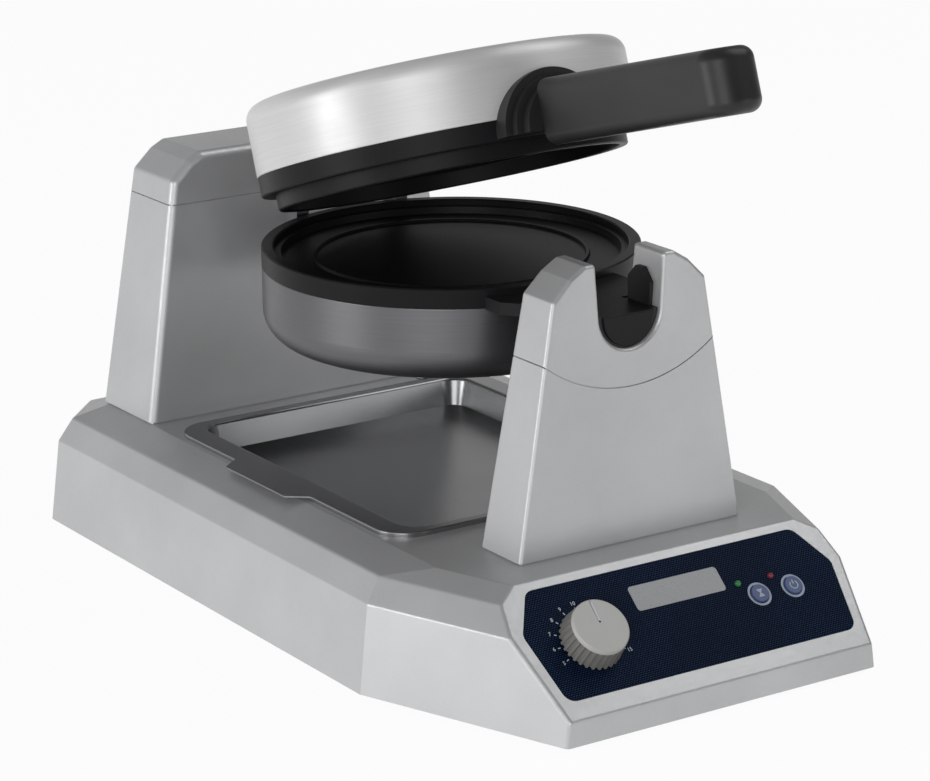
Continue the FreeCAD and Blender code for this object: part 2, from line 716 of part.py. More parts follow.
def front_pillar():
    body = whole_front_pillar().cut(seam_drum())
    ceiling = SEAM_RISE - SEAM_CEILING
    cavity = pillar_solid(FRONT_HALVES[:2], *FRONT_FACES, shrink=PILLAR_WALL)
    lid = block(-BASE_WIDTH, BASE_WIDTH, -FRONT_REACH, 0, DECK + ceiling, AXIS + BASE_HEIGHT)
    cavity = cavity.cut(lid)
    front_places, _ = pillar_bolt_places()
    columns = [rod(x, y, DECK, ALONG_Z, BOLT_BOSS_RADIUS, ceiling) for x, y in front_places]
    drill = deck_bolt_holes(front_places)
    y = front_places[0][1]
    for x in (-FRONT_CAP_SCREW_X, FRONT_CAP_SCREW_X):
        drill.append(rod(x, y, DECK + ceiling, ALONG_Z, M5[0] + SCREW_CLEARANCE, SEAM_RADIUS / 2))
    drill.append(foot_reveal(FRONT_HALVES, FRONT_FACES))
    drill.append(seam_groove(seam_drum(SEAM_GAP), FRONT_HALVES, FRONT_FACES))
    return body.cut(cavity.cut(Part.Compound(columns))).cut(Part.Compound(drill))


def front_pillar_cap():
    cap = whole_front_pillar().common(seam_drum()).cut(notch())
    cap = soften(cap, NOTCH_ROUND, is_notch_edge)
    front_places, _ = pillar_bolt_places()
    y = front_places[0][1]
    holes = []
    for x in (-FRONT_CAP_SCREW_X, FRONT_CAP_SCREW_X):
        depth = FRONT_CAP_SCREW_LENGTH + BLIND_END
        holes.append(rod(x, y, front_cap_screw_seat(), ALONG_Z, M5[0] + THREAD_CLEARANCE, depth))
    return cap.cut(Part.Compound(holes))


def whole_rear_pillar():
    solid = pillar_solid(REAR_HALVES, *REAR_FACES)
    return soften(solid, REAR_PILLAR_ROUND, lambda edge: edge.BoundBox.ZMax > DECK + 1)


def rear_lug(low, high):
    y = REAR_PILLAR_REACH + REAR_PILLAR_DEPTH / 2
    outer = REAR_CAP_SCREW_X + LUG_HALF
    lugs = [
        block(outer - 2 * LUG_HALF, outer + PILLAR_WALL, y - LUG_HALF, y + LUG_HALF, low, high),
        block(-outer - PILLAR_WALL, -outer + 2 * LUG_HALF, y - LUG_HALF, y + LUG_HALF, low, high),
    ]
    return Part.Compound(lugs)


def rear_cap_screw_places():
    y = REAR_PILLAR_REACH + REAR_PILLAR_DEPTH / 2
    return [(-REAR_CAP_SCREW_X, y), (REAR_CAP_SCREW_X, y)]


def rear_halves():
    """The rear pillar below and above its straight seam, as two shells."""
    seam = DECK + REAR_SEAM_RISE
    outer = whole_rear_pillar()
    cavity = pillar_solid(REAR_HALVES, *REAR_FACES, shrink=PILLAR_WALL)
    low_part = block(-BASE_WIDTH, BASE_WIDTH, 0, 2 * REAR_REACH, 0, seam)
    _, places = pillar_bolt_places()
    columns = [rod(x, y, DECK, ALONG_Z, BOLT_BOSS_RADIUS, 40) for x, y in places]
    lugs = rear_lug(seam - LUG_HEIGHT, seam)
    drill = deck_bolt_holes(places)
    drill.append(rod(0, REAR_PILLAR_REACH - 5, TUBE, ALONG_Y, TUBE_RADIUS + SEAT_CLEARANCE, 20))
    drill.append(foot_reveal(REAR_HALVES, REAR_FACES))
    band = block(-BASE_WIDTH, BASE_WIDTH, 0, 2 * REAR_REACH, seam - SEAM_GAP, seam)
    drill.append(seam_groove(band, REAR_HALVES, REAR_FACES))
    for x, y in rear_cap_screw_places():
        drill.append(rod(x, y, seam - LUG_HEIGHT, ALONG_Z, M5[0] + SCREW_CLEARANCE, LUG_HEIGHT))
    lower_cavity = cavity.cut(Part.Compound(columns)).cut(lugs)
    lower = outer.common(low_part).cut(lower_cavity).cut(Part.Compound(drill))
    bosses = rear_lug(seam, seam + LUG_HEIGHT)
    pilots = []
    for x, y in rear_cap_screw_places():
        pilots.append(rod(x, y, seam, ALONG_Z, M5[0] + THREAD_CLEARANCE, LUG_HEIGHT))
    upper = outer.cut(low_part).cut(cavity.cut(bosses)).cut(Part.Compound(pilots))
    return lower, upper


def deck_bolts(places):
    length = CAST_WALL + DECK_BOLT_GRIP
    return Part.Compound([screw(x, y, DECK - CAST_WALL, ALONG_Z, M6, length) for x, y in places])


def front_cap_screws():
    front_places, _ = pillar_bolt_places()
    y = front_places[0][1]
    seat = front_cap_screw_seat()
    places = (-FRONT_CAP_SCREW_X, FRONT_CAP_SCREW_X)
    return Part.Compound([screw(x, y, seat, ALONG_Z, M5, FRONT_CAP_SCREW_LENGTH) for x in places])


def rear_cap_screws():
    seat = DECK + REAR_SEAM_RISE - LUG_HEIGHT
    length = LUG_HEIGHT + REAR_CAP_GRIP
    return Part.Compound([screw(x, y, seat, ALONG_Z, M5, length) for x, y in rear_cap_screw_places()])


def rest_front():
    lean = FRONT_PILLAR_LEAN * AXIS_RISE / FRONT_CROWN[1]
    return -FRONT_PILLAR_REACH + lean + REST_RECESS


def liner_cheek(y0, y1):
    """The upstand of the liner on one flared wall of the notch, with its upper corners cut off."""
    low, high = AXIS - REST_FLAT, AXIS + CHEEK_RISE
    outer = NOTCH_RADIUS - SEAT_CLEARANCE
    inner = outer - CHEEK_SHEET
    top = outer + NOTCH_FLARE * CHEEK_RISE / (FRONT_CROWN[1] + 1 - AXIS_RISE)
    foot_x = math.sqrt(outer ** 2 - REST_FLAT ** 2)
    wall = prism_xz([(inner, low), (foot_x, low), (outer, AXIS), (top, high), (inner, high)], y0, y1)
    corner = CHEEK_CORNER
    side = [
        (y0, low), (y1, low), (y1, high - corner), (y1 - corner, high),
        (y0 + corner, high), (y0, high - corner),
    ]
    return wall.common(prism_yz(side, 0, top + 1))


def notch_liner():
    """A thin half sleeve with two cheeks that keeps the rest and the handle off the painted notch."""
    inner_lean = FRONT_INNER_LEAN * AXIS_RISE / FRONT_CROWN[1]
    y0 = rest_front() + LINER_RECESS
    y1 = -FRONT_PILLAR_REACH + FRONT_PILLAR_DEPTH - inner_lean - LINER_RECESS
    sleeve = rod(0, y0, AXIS, ALONG_Y, NOTCH_RADIUS - SEAT_CLEARANCE, y1 - y0)
    sleeve = sleeve.cut(rod(0, y0, AXIS - REST_SINK, ALONG_Y, REST_RADIUS + SEAT_CLEARANCE, y1 - y0))
    top = AXIS - REST_FLAT
    sleeve = sleeve.cut(block(-NOTCH_RADIUS, NOTCH_RADIUS, y0, y1, top, AXIS + NOTCH_RADIUS))
    return join([sleeve] + pair(liner_cheek(y0 + CHEEK_SETBACK, y1)))


def stepped_half(steps, axis_z, sign):
    """Concentric half discs that step down in radius away from the head."""
    start = -HEAD_RADIUS * 0.8
    whole = join([rod(0, -reach, axis_z, ALONG_Y, radius, reach + start) for radius, reach in steps])
    wide = steps[0][0] + 1
    low, high = (axis_z, axis_z + wide) if sign < 0 else (axis_z - wide, axis_z)
    return whole.cut(block(-wide, wide, -2 * HEAD_RADIUS, 0, low, high))


def front_rest():
    """The arm that lies in the notch, on a stepped collar and a tapered web against the head."""
    flat = AXIS - REST_FLAT
    collar = stepped_half(REST_STEPS, flat, -1)
    inside = -HEAD_RADIUS * 0.8
    arm = rod(0, rest_front(), AXIS - REST_SINK, ALONG_Y, REST_RADIUS, inside - rest_front())
    arm = arm.cut(block(-REST_RADIUS, REST_RADIUS, rest_front(), 0, flat, AXIS + REST_RADIUS))
    arm = soften(arm, 0.8, lambda edge: edge.BoundBox.YMax < rest_front() + 1e-6)
    right = [(WEB_HALF, inside), (WEB_HALF, -WEB_SHOULDER), (WEB_TIP_HALF, -WEB_REACH)]
    web = prism_xy(right + [(-x, y) for x, y in reversed(right)], flat - WEB_HEIGHT, flat)
    drill = [rod(0, 0, SHELL_FLOOR, ALONG_Z, HEAD_RADIUS, SHELL_HEIGHT + RIM_HEIGHT)]
    start = -REST_STEPS[0][1] + 1
    for x in (-REST_SCREW_X, REST_SCREW_X):
        drill.append(rod(x, start, AXIS - REST_SCREW_DROP, ALONG_Y, M5[0] + THREAD_CLEARANCE, 20))
    return join([collar, arm, web]).cut(Part.Compound(drill)).removeSplitter()


def wall_seat(x, size):
    """How far along Y a screw head lies flat against the inside of the round shell."""
    edge = abs(x) + size[1] + SEAT_CLEARANCE
    return math.sqrt(SHELL_INNER ** 2 - edge ** 2)


def front_rest_screws():
    screws = []
    for x in (-REST_SCREW_X, REST_SCREW_X):
        seat = wall_seat(x, M5)
        length = REST_STEPS[0][1] - 2 - seat
        screws.append(screw(x, -seat, AXIS - REST_SCREW_DROP, -ALONG_Y, M5, length))
    return Part.Compound(screws)


def hinge_screw_height():
    return PARTING - BRACKET_DROP - HINGE_SCREW_DROP


def hinge_bracket_screws():
    screws = []
    for x in (-HINGE_SCREW_X, HINGE_SCREW_X):
        seat = wall_seat(x, M5)
        screws.append(screw(x, seat, hinge_screw_height(), ALONG_Y, M5, HINGE_BACK - seat))
    return Part.Compound(screws)


def post_spots():
    return [(x, y) for x in (-POST_SPREAD, POST_SPREAD) for y in (-POST_SPREAD, POST_SPREAD)]


def cup(radius, corner, sheet, closed, opening):
    """A drawn round cup in section: closed end, rounded corner, straight wall, rounded lip."""
    way = 1 if opening > closed else -1
    bend = math.sqrt(0.5)
    inner = corner - sheet
    centre = V(radius - corner, 0, closed + way * corner)
    lip = V(radius - LIP_ROUND, 0, opening - way * LIP_ROUND)
    wall = [
        Part.makeLine(V(0, 0, closed), V(radius - corner, 0, closed)),
        Part.Arc(
            V(radius - corner, 0, closed),
            centre + V(corner * bend, 0, -way * corner * bend),
            V(radius, 0, centre.z),
        ).toShape(),
        Part.makeLine(V(radius, 0, centre.z), V(radius, 0, lip.z)),
        Part.Arc(
            V(radius, 0, lip.z),
            lip + V(LIP_ROUND * bend, 0, way * LIP_ROUND * bend),
            V(lip.x, 0, opening),
        ).toShape(),
        Part.makeLine(V(lip.x, 0, opening), V(radius - sheet, 0, opening)),
        Part.makeLine(V(radius - sheet, 0, opening), V(radius - sheet, 0, centre.z)),
        Part.Arc(
            V(radius - sheet, 0, centre.z),
            centre + V(inner * bend, 0, -way * inner * bend),
            V(radius - corner, 0, closed + way * sheet),
        ).toShape(),
        Part.makeLine(V(radius - corner, 0, closed + way * sheet), V(0, 0, closed + way * sheet)),
        Part.makeLine(V(0, 0, closed + way * sheet), V(0, 0, closed)),
    ]
    return Part.Face(Part.Wire(wall)).revolve(V(0, 0, 0), ALONG_Z, 360)


def lower_shell():
    shell = cup(HEAD_RADIUS, SHELL_CORNER, SHEET, SHELL_FLOOR, SHELL_TOP)
    holes = [rod(x, y, SHELL_FLOOR, ALONG_Z, M4[0] + SCREW_CLEARANCE, SHEET) for x, y in post_spots()]
    holes.append(rod(0, 0, TUBE, ALONG_Y, TUBE_RADIUS + SEAT_CLEARANCE, HEAD_RADIUS + 5))
    for x in (-REST_SCREW_X, REST_SCREW_X):
        holes.append(rod(x, 0, AXIS - REST_SCREW_DROP, -ALONG_Y, M5[0] + SCREW_CLEARANCE, HEAD_RADIUS + 5))
    for x in (-HINGE_SCREW_X, HINGE_SCREW_X):
        holes.append(rod(x, 0, hinge_screw_height(), ALONG_Y, M5[0] + SCREW_CLEARANCE, HEAD_RADIUS + 5))
    return shell.cut(Part.Compound(holes))


def bead(z, way):
    half = BEAD_HEIGHT
    return [
        (BEAD_RADIUS - half, z), (BEAD_RADIUS - half / 2, z + way * BEAD_HEIGHT),
        (BEAD_RADIUS + half / 2, z + way * BEAD_HEIGHT), (BEAD_RADIUS + half, z),
    ]


def heater_ring(z, way):
    """A bent tubular element, half sunk in the plate's back, with two legs for its leads."""
    end = Part.Face(Part.Wire(Part.makeCircle(HEATER_TUBE, V(HEATER_RADIUS, 0, z), ALONG_Y)))
    ring = end.revolve(V(0, 0, 0), ALONG_Z, HEATER_SWEEP)
    bend = end.revolve(V(HEATER_RADIUS, 0, z + way * HEATER_BEND), ALONG_X, -90 * way)
    leg = rod(HEATER_RADIUS, -HEATER_BEND, z + way * HEATER_BEND, V(0, 0, way), HEATER_TUBE, HEATER_LEG)
    first = join([bend, leg])
    last = first.mirror(V(0, 0, 0), ALONG_Y)
    last.rotate(V(0, 0, 0), ALONG_Z, HEATER_SWEEP)
    shape = join([ring, first, last])
    shape.rotate(V(0, 0, 0), ALONG_Z, (360 - HEATER_SWEEP) / 2)
    return shape


def heater_groove(z):
    return Part.makeTorus(HEATER_RADIUS, HEATER_TUBE + SEAT_CLEARANCE, V(0, 0, z), ALONG_Z)


def lower_plate():
    floor, shelf, back = PARTING - COOK_DEPTH, PARTING - SHELF_DEPTH, PARTING - PLATE_BODY
    spigot = SHELL_INNER - SPIGOT_GAP
    profile = [(0, floor)] + bead(floor, 1) + [
        (SHELF_RADIUS - SHELF_WIDTH - 0.7, floor), (SHELF_RADIUS - SHELF_WIDTH, shelf),
        (SHELF_RADIUS, shelf), (SHELF_RADIUS, PARTING - 0.6), (SHELF_RADIUS + 0.6, PARTING),
        (HEAD_RADIUS - 0.6, PARTING), (HEAD_RADIUS, PARTING - 0.6), (HEAD_RADIUS, SHELL_TOP),
        (spigot, SHELL_TOP), (spigot, back), (0, back),
    ]
    plate = turned(profile)
    low = SHELL_FLOOR + SHEET
    posts = [rod(x, y, low, ALONG_Z, HEAD_POST_RADIUS, back - low) for x, y in post_spots()]
    depth = SHELL_SCREW_LENGTH + BLIND_END
    drill = [rod(x, y, low, ALONG_Z, M4[0] + THREAD_CLEARANCE, depth) for x, y in post_spots()]
    return join([plate] + posts).cut(Part.Compound(drill + [heater_groove(back)]))


def thermostat(z, way):
    can = rod(0, 0, z, V(0, 0, way), THERMOSTAT_RADIUS, THERMOSTAT_HEIGHT)
    end = z + way * THERMOSTAT_HEIGHT
    tabs = []
    for sign in (-1, 1):
        x = sign * THERMOSTAT_RADIUS / 2
        tabs.append(block(x - 0.4, x + 0.4, -3, 3, min(end, end + 6 * way), max(end, end + 6 * way)))
    return join([can] + tabs)


def wool(z0, z1, spots):
    pad = rod(0, 0, z0, ALONG_Z, WOOL_RADIUS, z1 - z0)
    holes = [rod(x, y, z0, ALONG_Z, HEAD_POST_RADIUS + 0.5, z1 - z0) for x, y in spots]
    return pad.cut(Part.Compound(holes)) if holes else pad


def lower_shell_screws():
    length = SHELL_SCREW_LENGTH
    return Part.Compound([screw(x, y, SHELL_FLOOR, ALONG_Z, M4, length) for x, y in post_spots()])


def shell_bore(z):
    """The lower shell's inner radius at a height; it shrinks round the corner."""
    inner = SHELL_CORNER - SHEET
    below = min(max(SHELL_FLOOR + SHELL_CORNER - z, 0.0), inner)
    return SHELL_INNER - inner + math.sqrt(inner ** 2 - below ** 2)


def tube_nut_start():
    seat = min(math.sqrt(SHELL_INNER ** 2 - TUBE_NUT_RADIUS ** 2), shell_bore(TUBE - TUBE_NUT_RADIUS))
    return seat - SEAT_CLEARANCE - TUBE_NUT_HEIGHT


def support_tube():
    start = tube_nut_start() - TUBE_END
    tube = rod(0, start, TUBE, ALONG_Y, TUBE_RADIUS, TUBE_REACH - start)
    return tube.cut(rod(0, start, TUBE, ALONG_Y, TUBE_BORE, TUBE_REACH - start))


def support_tube_nuts():
    wall = REAR_PILLAR_REACH + PILLAR_WALL + REAR_INNER_LEAN + SEAT_CLEARANCE
    nuts = []
    for y in (tube_nut_start(), wall):
        nut = rod(0, y, TUBE, ALONG_Y, TUBE_NUT_RADIUS, TUBE_NUT_HEIGHT)
        nuts.append(nut.cut(rod(0, y, TUBE, ALONG_Y, TUBE_RADIUS + THREAD_CLEARANCE, TUBE_NUT_HEIGHT)))
    return Part.Compound(nuts)


def pair(shape):
    """A piece and its mirror image across the middle of the press."""
    return [shape, shape.mirror(V(0, 0, 0), ALONG_X)]


def hinge_bracket():
    top = PARTING - BRACKET_DROP
    back = HINGE_BACK + KNUCKLE_RADIUS
    waist = BRACKET_HALF - 8
    outline = [
        (-BRACKET_HALF, HEAD_RADIUS - 18), (BRACKET_HALF, HEAD_RADIUS - 18), (BRACKET_HALF, back - 12),
        (waist, back), (-waist, back), (-BRACKET_HALF, back - 12),
    ]
    saddle = prism_xy(outline, top - BRACKET_HEIGHT, top)
    upright = [
        (HINGE_BACK - KNUCKLE_RADIUS, top - 10), (back, top - 10),
        (back, HINGE), (HINGE_BACK - KNUCKLE_RADIUS, HINGE),
    ]
    ear = prism_yz(upright, EAR_INNER, EAR_INNER + EAR_WIDTH)
    eye = rod(EAR_INNER, HINGE_BACK, HINGE, ALONG_X, KNUCKLE_RADIUS, EAR_WIDTH)
    drill = [
        rod(0, 0, SHELL_FLOOR, ALONG_Z, HEAD_RADIUS, SHELL_HEIGHT + RIM_HEIGHT),
        rod(0, 0, TUBE, ALONG_Y, TUBE_RADIUS + SEAT_CLEARANCE, back + 1),
        rod(-BRACKET_HALF, HINGE_BACK, HINGE, ALONG_X, PIN_RADIUS + SEAT_CLEARANCE, 2 * BRACKET_HALF),
    ]
    for x in (-HINGE_SCREW_X, HINGE_SCREW_X):
        drill.append(rod(x, 0, hinge_screw_height(), ALONG_Y, M5[0] + THREAD_CLEARANCE, HINGE_BACK + 1))
    return join([saddle] + pair(join([ear, eye]))).cut(Part.Compound(drill)).removeSplitter()


def knuckle_start():
    return EAR_INNER + EAR_WIDTH + SIDE_CLEARANCE


def knuckle_end():
    return knuckle_start() + KNUCKLE_WIDTH


def hinge_pins():
    start = EAR_INNER - PIN_HEAD
    length = knuckle_end() + SIDE_CLEARANCE + 2 * CLIP_THICKNESS - start
    pin = join([
        rod(start, HINGE_BACK, HINGE, ALONG_X, PIN_RADIUS, length),
        rod(start, HINGE_BACK, HINGE, ALONG_X, PIN_HEAD_RADIUS, PIN_HEAD),
    ])
    return Part.Compound(pair(pin))


def hinge_clips():
    x = knuckle_end() + SIDE_CLEARANCE
    clip = rod(x, HINGE_BACK, HINGE, ALONG_X, PIN_HEAD_RADIUS, CLIP_THICKNESS)
    clip = clip.cut(rod(x, HINGE_BACK, HINGE, ALONG_X, PIN_RADIUS + SEAT_CLEARANCE, CLIP_THICKNESS))
    return Part.Compound(pair(clip))


def lid_screw_height():
    return HINGE + SADDLE_LIFT + SADDLE_HEIGHT / 2


def lid_hinge_bracket():
    low, high = HINGE + SADDLE_LIFT, HINGE + SADDLE_LIFT + SADDLE_HEIGHT
    end = knuckle_end()
    back = HINGE_BACK + SADDLE_BACK
    saddle = block(-end, end, LID_RADIUS * 0.8, back, low, high)
    arm_side = [
        (LID_RADIUS * 0.8, low - 4), (HINGE_BACK - KNUCKLE_RADIUS, HINGE),
        (HINGE_BACK + KNUCKLE_RADIUS, HINGE), (back, low), (back, high), (LID_RADIUS * 0.8, high),
    ]
    arm = prism_yz(arm_side, knuckle_start(), end)
    eye = rod(knuckle_start(), HINGE_BACK, HINGE, ALONG_X, KNUCKLE_RADIUS, KNUCKLE_WIDTH)
    drill = [
        rod(0, 0, LID_RIM, ALONG_Z, LID_RADIUS, LID_HEIGHT),
        rod(-end, HINGE_BACK, HINGE, ALONG_X, PIN_RADIUS + RUNNING_CLEARANCE, 2 * end),
    ]
    for x in (-LID_SCREW_X, LID_SCREW_X):
        drill.append(rod(x, 0, lid_screw_height(), ALONG_Y, M5[0] + THREAD_CLEARANCE, back - 2))
    return join([saddle] + pair(join([arm, eye]))).cut(Part.Compound(drill)).removeSplitter()


def lid_boss(high, way):
    """A block on the back of the upper plate that the shell is screwed against."""
    outer = LID_INNER - SEAT_CLEARANCE
    near, far = sorted((way * (LID_INNER - LID_BOSS_DEPTH), way * LID_INNER))
    slab = block(-LID_BOSS_HALF, LID_BOSS_HALF, near, far, LID_BACKING, high)
    return slab.common(rod(0, 0, LID_RIM, ALONG_Z, outer, LID_HEIGHT))


def lid_bolt_holes(clearance):
    holes = []
    for x in (-LID_SCREW_X, LID_SCREW_X):
        holes.append(rod(x, 0, lid_screw_height(), ALONG_Y, M5[0] + clearance, LID_RADIUS + 5))
    for x in (-HANDLE_BOLT_X, HANDLE_BOLT_X):
        holes.append(rod(x, 0, RING + HANDLE_BOLT_RISE, -ALONG_Y, M5[0] + clearance, HANDLE_ROOT))
    return Part.Compound(holes)


def upper_shell():
    shell = cup(LID_RADIUS, LID_CORNER, LID_SHEET, LID_TOP, LID_SKIRT)
    return shell.cut(lid_bolt_holes(SCREW_CLEARANCE))


def upper_plate():
    ceiling = LID_RIM + 0.4
    spigot = LID_INNER - SPIGOT_GAP
    inner = RING_RADIUS - RING_WIDTH
    profile = [(0, ceiling)] + bead(ceiling, -1) + [
        (inner - 0.8, ceiling), (inner, RING + 0.6), (inner + 0.6, RING), (RING_RADIUS - 0.6, RING),
        (RING_RADIUS, RING + 0.6), (RING_RADIUS, LID_RIM), (LID_RIM_RADIUS - 0.6, LID_RIM),
        (LID_RIM_RADIUS, LID_RIM + 0.6), (LID_RIM_RADIUS, LID_SKIRT), (spigot, LID_SKIRT),
        (spigot, LID_BACKING), (0, LID_BACKING),
    ]
    plate = turned(profile)
    rear = lid_boss(lid_screw_height() + M5[1] + 1, 1)
    front = lid_boss(RING + HANDLE_BOLT_RISE + M5[1] + 1, -1)
    drill = [lid_bolt_holes(SCREW_CLEARANCE), heater_groove(LID_BACKING)]
    return join([plate, rear, front]).cut(Part.Compound(drill))


def lid_collar():
    collar = stepped_half(COLLAR_STEPS, LID_RIM + COLLAR_RISE, 1)
    drill = [rod(0, 0, LID_RIM, ALONG_Z, LID_RADIUS, LID_HEIGHT), lid_bolt_holes(SCREW_CLEARANCE)]
    return collar.cut(Part.Compound(drill))


def handle():
    side = [
        (-HANDLE_ROOT, RING + HANDLE_ROOT_LOW), (-HANDLE_TIP, RING + HANDLE_TIP_LOW),
        (-HANDLE_TIP, RING + HANDLE_TIP_HIGH), (-HANDLE_ROOT, RING + HANDLE_ROOT_HIGH),
    ]
    bar = prism_yz(side, -HANDLE_HALF, HANDLE_HALF)
    tip = -HANDLE_TIP + 1e-3
    bar = soften(bar, HANDLE_TIP_ROUND, lambda edge: is_along(edge, ALONG_Z) and edge.BoundBox.YMax < tip)
    root = -HANDLE_ROOT - 1e-3
    bar = soften(bar, HANDLE_ROUND, lambda edge: edge.BoundBox.YMin < root and not is_along(edge, ALONG_Z))
    holes = []
    height = RING + HANDLE_BOLT_RISE
    for x in (-HANDLE_BOLT_X, HANDLE_BOLT_X):
        holes.append(rod(x, -HANDLE_ROOT, height, -ALONG_Y, M5[0] + THREAD_CLEARANCE, HANDLE_BOLT_DEPTH))
    return bar.cut(Part.Compound(holes))


def handle_bolts():
    seat = LID_INNER - LID_BOSS_DEPTH
    length = HANDLE_ROOT + HANDLE_BOLT_DEPTH - 2 - seat
    height = RING + HANDLE_BOLT_RISE
    places = (-HANDLE_BOLT_X, HANDLE_BOLT_X)
    return Part.Compound([screw(x, -seat, height, -ALONG_Y, M5, length) for x in places])


def lid_hinge_screws():
    seat = LID_INNER - LID_BOSS_DEPTH
    length = HINGE_BACK - seat
    height = lid_screw_height()
    return Part.Compound([screw(x, seat, height, ALONG_Y, M5, length) for x in (-LID_SCREW_X, LID_SCREW_X)])


def opened(shape):
    """Swings a lid piece from shut to the rest pose."""
    moved = shape.copy()
    moved.rotate(V(0, HINGE_BACK, HINGE), -ALONG_X, LID_OPEN)
    return moved


def control_panel():
    low = -PANEL_RECESS
    sheet = panel_sheet(low, low + PANEL_SHEET)
    return on_fascia(sheet.cut(panel_holes(low, low + PANEL_SHEET)))


def panel_face():
    return PANEL_SHEET - PANEL_RECESS


def timer_potentiometer():
    can = rod(KNOB_X, KNOB_U, -BOARD_DEPTH, ALONG_Z, POT_RADIUS, BOARD_DEPTH - CAST_WALL)
    neck = rod(KNOB_X, KNOB_U, -CAST_WALL, ALONG_Z, BUSHING_RADIUS, CAST_WALL + BUSHING_TOP)
    bore = rod(KNOB_X, KNOB_U, -CAST_WALL - SHAFT_ROOT, ALONG_Z, SHAFT_RADIUS + RUNNING_CLEARANCE, 20)
    return on_fascia(join([can, neck]).cut(bore))


def potentiometer_nut():
    nut = hexagon(KNOB_X, KNOB_U, panel_face(), POT_NUT_FLATS, POT_NUT_HEIGHT)
    hole = rod(KNOB_X, KNOB_U, panel_face(), ALONG_Z, BUSHING_RADIUS + THREAD_CLEARANCE, POT_NUT_HEIGHT)
    return on_fascia(nut.cut(hole))


def timer_shaft():
    root = -CAST_WALL - SHAFT_ROOT + SEAT_CLEARANCE
    return on_fascia(rod(KNOB_X, KNOB_U, root, ALONG_Z, SHAFT_RADIUS, SHAFT_TOP - root))


def timer_knob():
    """A tapered fluted skirt under a smooth cap with a pointer groove that points up the slope."""
    top = KNOB_LIFT + KNOB_HEIGHT
    body = Part.makeCone(KNOB_RADIUS, KNOB_TOP_RADIUS, KNOB_HEIGHT, V(0, 0, KNOB_LIFT), ALONG_Z)
    body = soften(body, 1.0, lambda edge: edge.BoundBox.ZMin > top - 1e-6)
    bore = SHAFT_TOP + SEAT_CLEARANCE - KNOB_LIFT
    cuts = [
        rod(0, 0, KNOB_LIFT, ALONG_Z, KNOB_HOLLOW, KNOB_HOLLOW_HEIGHT),
        rod(0, 0, KNOB_LIFT, ALONG_Z, SHAFT_RADIUS + SEAT_CLEARANCE, bore),
    ]
    for step in range(KNOB_FLUTES):
        angle = 2 * math.pi * step / KNOB_FLUTES
        outwards = V(math.cos(angle), math.sin(angle), 0)
        slant = outwards * (KNOB_TOP_RADIUS - KNOB_RADIUS) + V(0, 0, KNOB_HEIGHT)
        reach = slant * (1 - KNOB_CAP / KNOB_HEIGHT)
        foot_point = outwards * KNOB_RADIUS + V(0, 0, KNOB_LIFT) - slant * 0.1
        length = reach.Length + slant.Length * 0.1
        cuts.append(Part.makeCylinder(KNOB_FLUTE_RADIUS, length, foot_point, slant))
    half = POINTER_WIDTH / 2
    cuts.append(block(-half, half, 2, KNOB_RADIUS, top - half, top + 1))
    knob = body.cut(Part.Compound(cuts))
    knob.translate(V(KNOB_X, KNOB_U, 0))
    return on_fascia(knob)


def control_board():
    board = block(-BOARD_HALF, BOARD_HALF, BOARD_LOW, BOARD_HIGH, -BOARD_DEPTH - BOARD_SHEET, -BOARD_DEPTH)
    holes = []
    for x, u in board_screw_places():
        holes.append(rod(x, u, -BOARD_DEPTH - BOARD_SHEET, ALONG_Z, M3[0] + SCREW_CLEARANCE, BOARD_SHEET))
    return on_fascia(board.cut(Part.Compound(holes)))


def board_screws():
    seat = -BOARD_DEPTH - BOARD_SHEET
    length = BOARD_SHEET + BOARD_SCREW_GRIP
    screws = [screw(x, u, seat, ALONG_Z, M3, length) for x, u in board_screw_places()]
    return on_fascia(Part.Compound(screws))


def push_button(x):
    """A round cap on a shoulder that the panel holds in, with a stem down to its switch."""
    shoulder_top = -CAST_WALL - SEAT_CLEARANCE
    low = shoulder_top - BUTTON_SHOULDER
    cap = rod(x, BUTTON_U, low, ALONG_Z, BUTTON_RADIUS, BUTTON_PROUD - low)
    cap = soften(cap, 0.4, lambda edge: edge.BoundBox.ZMin > BUTTON_PROUD - 1e-6)
    shoulder = rod(x, BUTTON_U, low, ALONG_Z, BUTTON_RADIUS + 1, BUTTON_SHOULDER)
    stem = rod(x, BUTTON_U, low - BUTTON_STEM_DROP, ALONG_Z, BUTTON_STEM, BUTTON_STEM_DROP)
    return on_fascia(join([cap, shoulder, stem]))


def switch_top():
    rest = -CAST_WALL - SEAT_CLEARANCE - BUTTON_SHOULDER - BUTTON_STEM_DROP
    return rest - BUTTON_TRAVEL - SEAT_CLEARANCE


def tact_switch(x):
    half = SWITCH_SIDE / 2
    body = block(x - half, x + half, BUTTON_U - half, BUTTON_U + half, -BOARD_DEPTH, switch_top() - 0.8)
    body = soften(body, 0.6, lambda edge: is_along(edge, ALONG_Z))
    plunger = rod(x, BUTTON_U, switch_top() - 0.8, ALONG_Z, BUTTON_STEM + 0.6, 0.8)
    return on_fascia(join([body, plunger]))


def led(x):
    top = panel_face() + 0.4
    stem = rod(x, LED_U, -BOARD_DEPTH, ALONG_Z, LED_RADIUS, BOARD_DEPTH + top)
    dome = Part.makeSphere(LED_RADIUS, V(x, LED_U, top))
    flange = rod(x, LED_U, -BOARD_DEPTH, ALONG_Z, LED_RADIUS + 0.5, 1)
    return on_fascia(join([stem, dome, flange]))


def centred(size, x, y, z):
    return block(x - size[0] / 2, x + size[0] / 2, y - size[1] / 2, y + size[1] / 2, z, z + size[2])


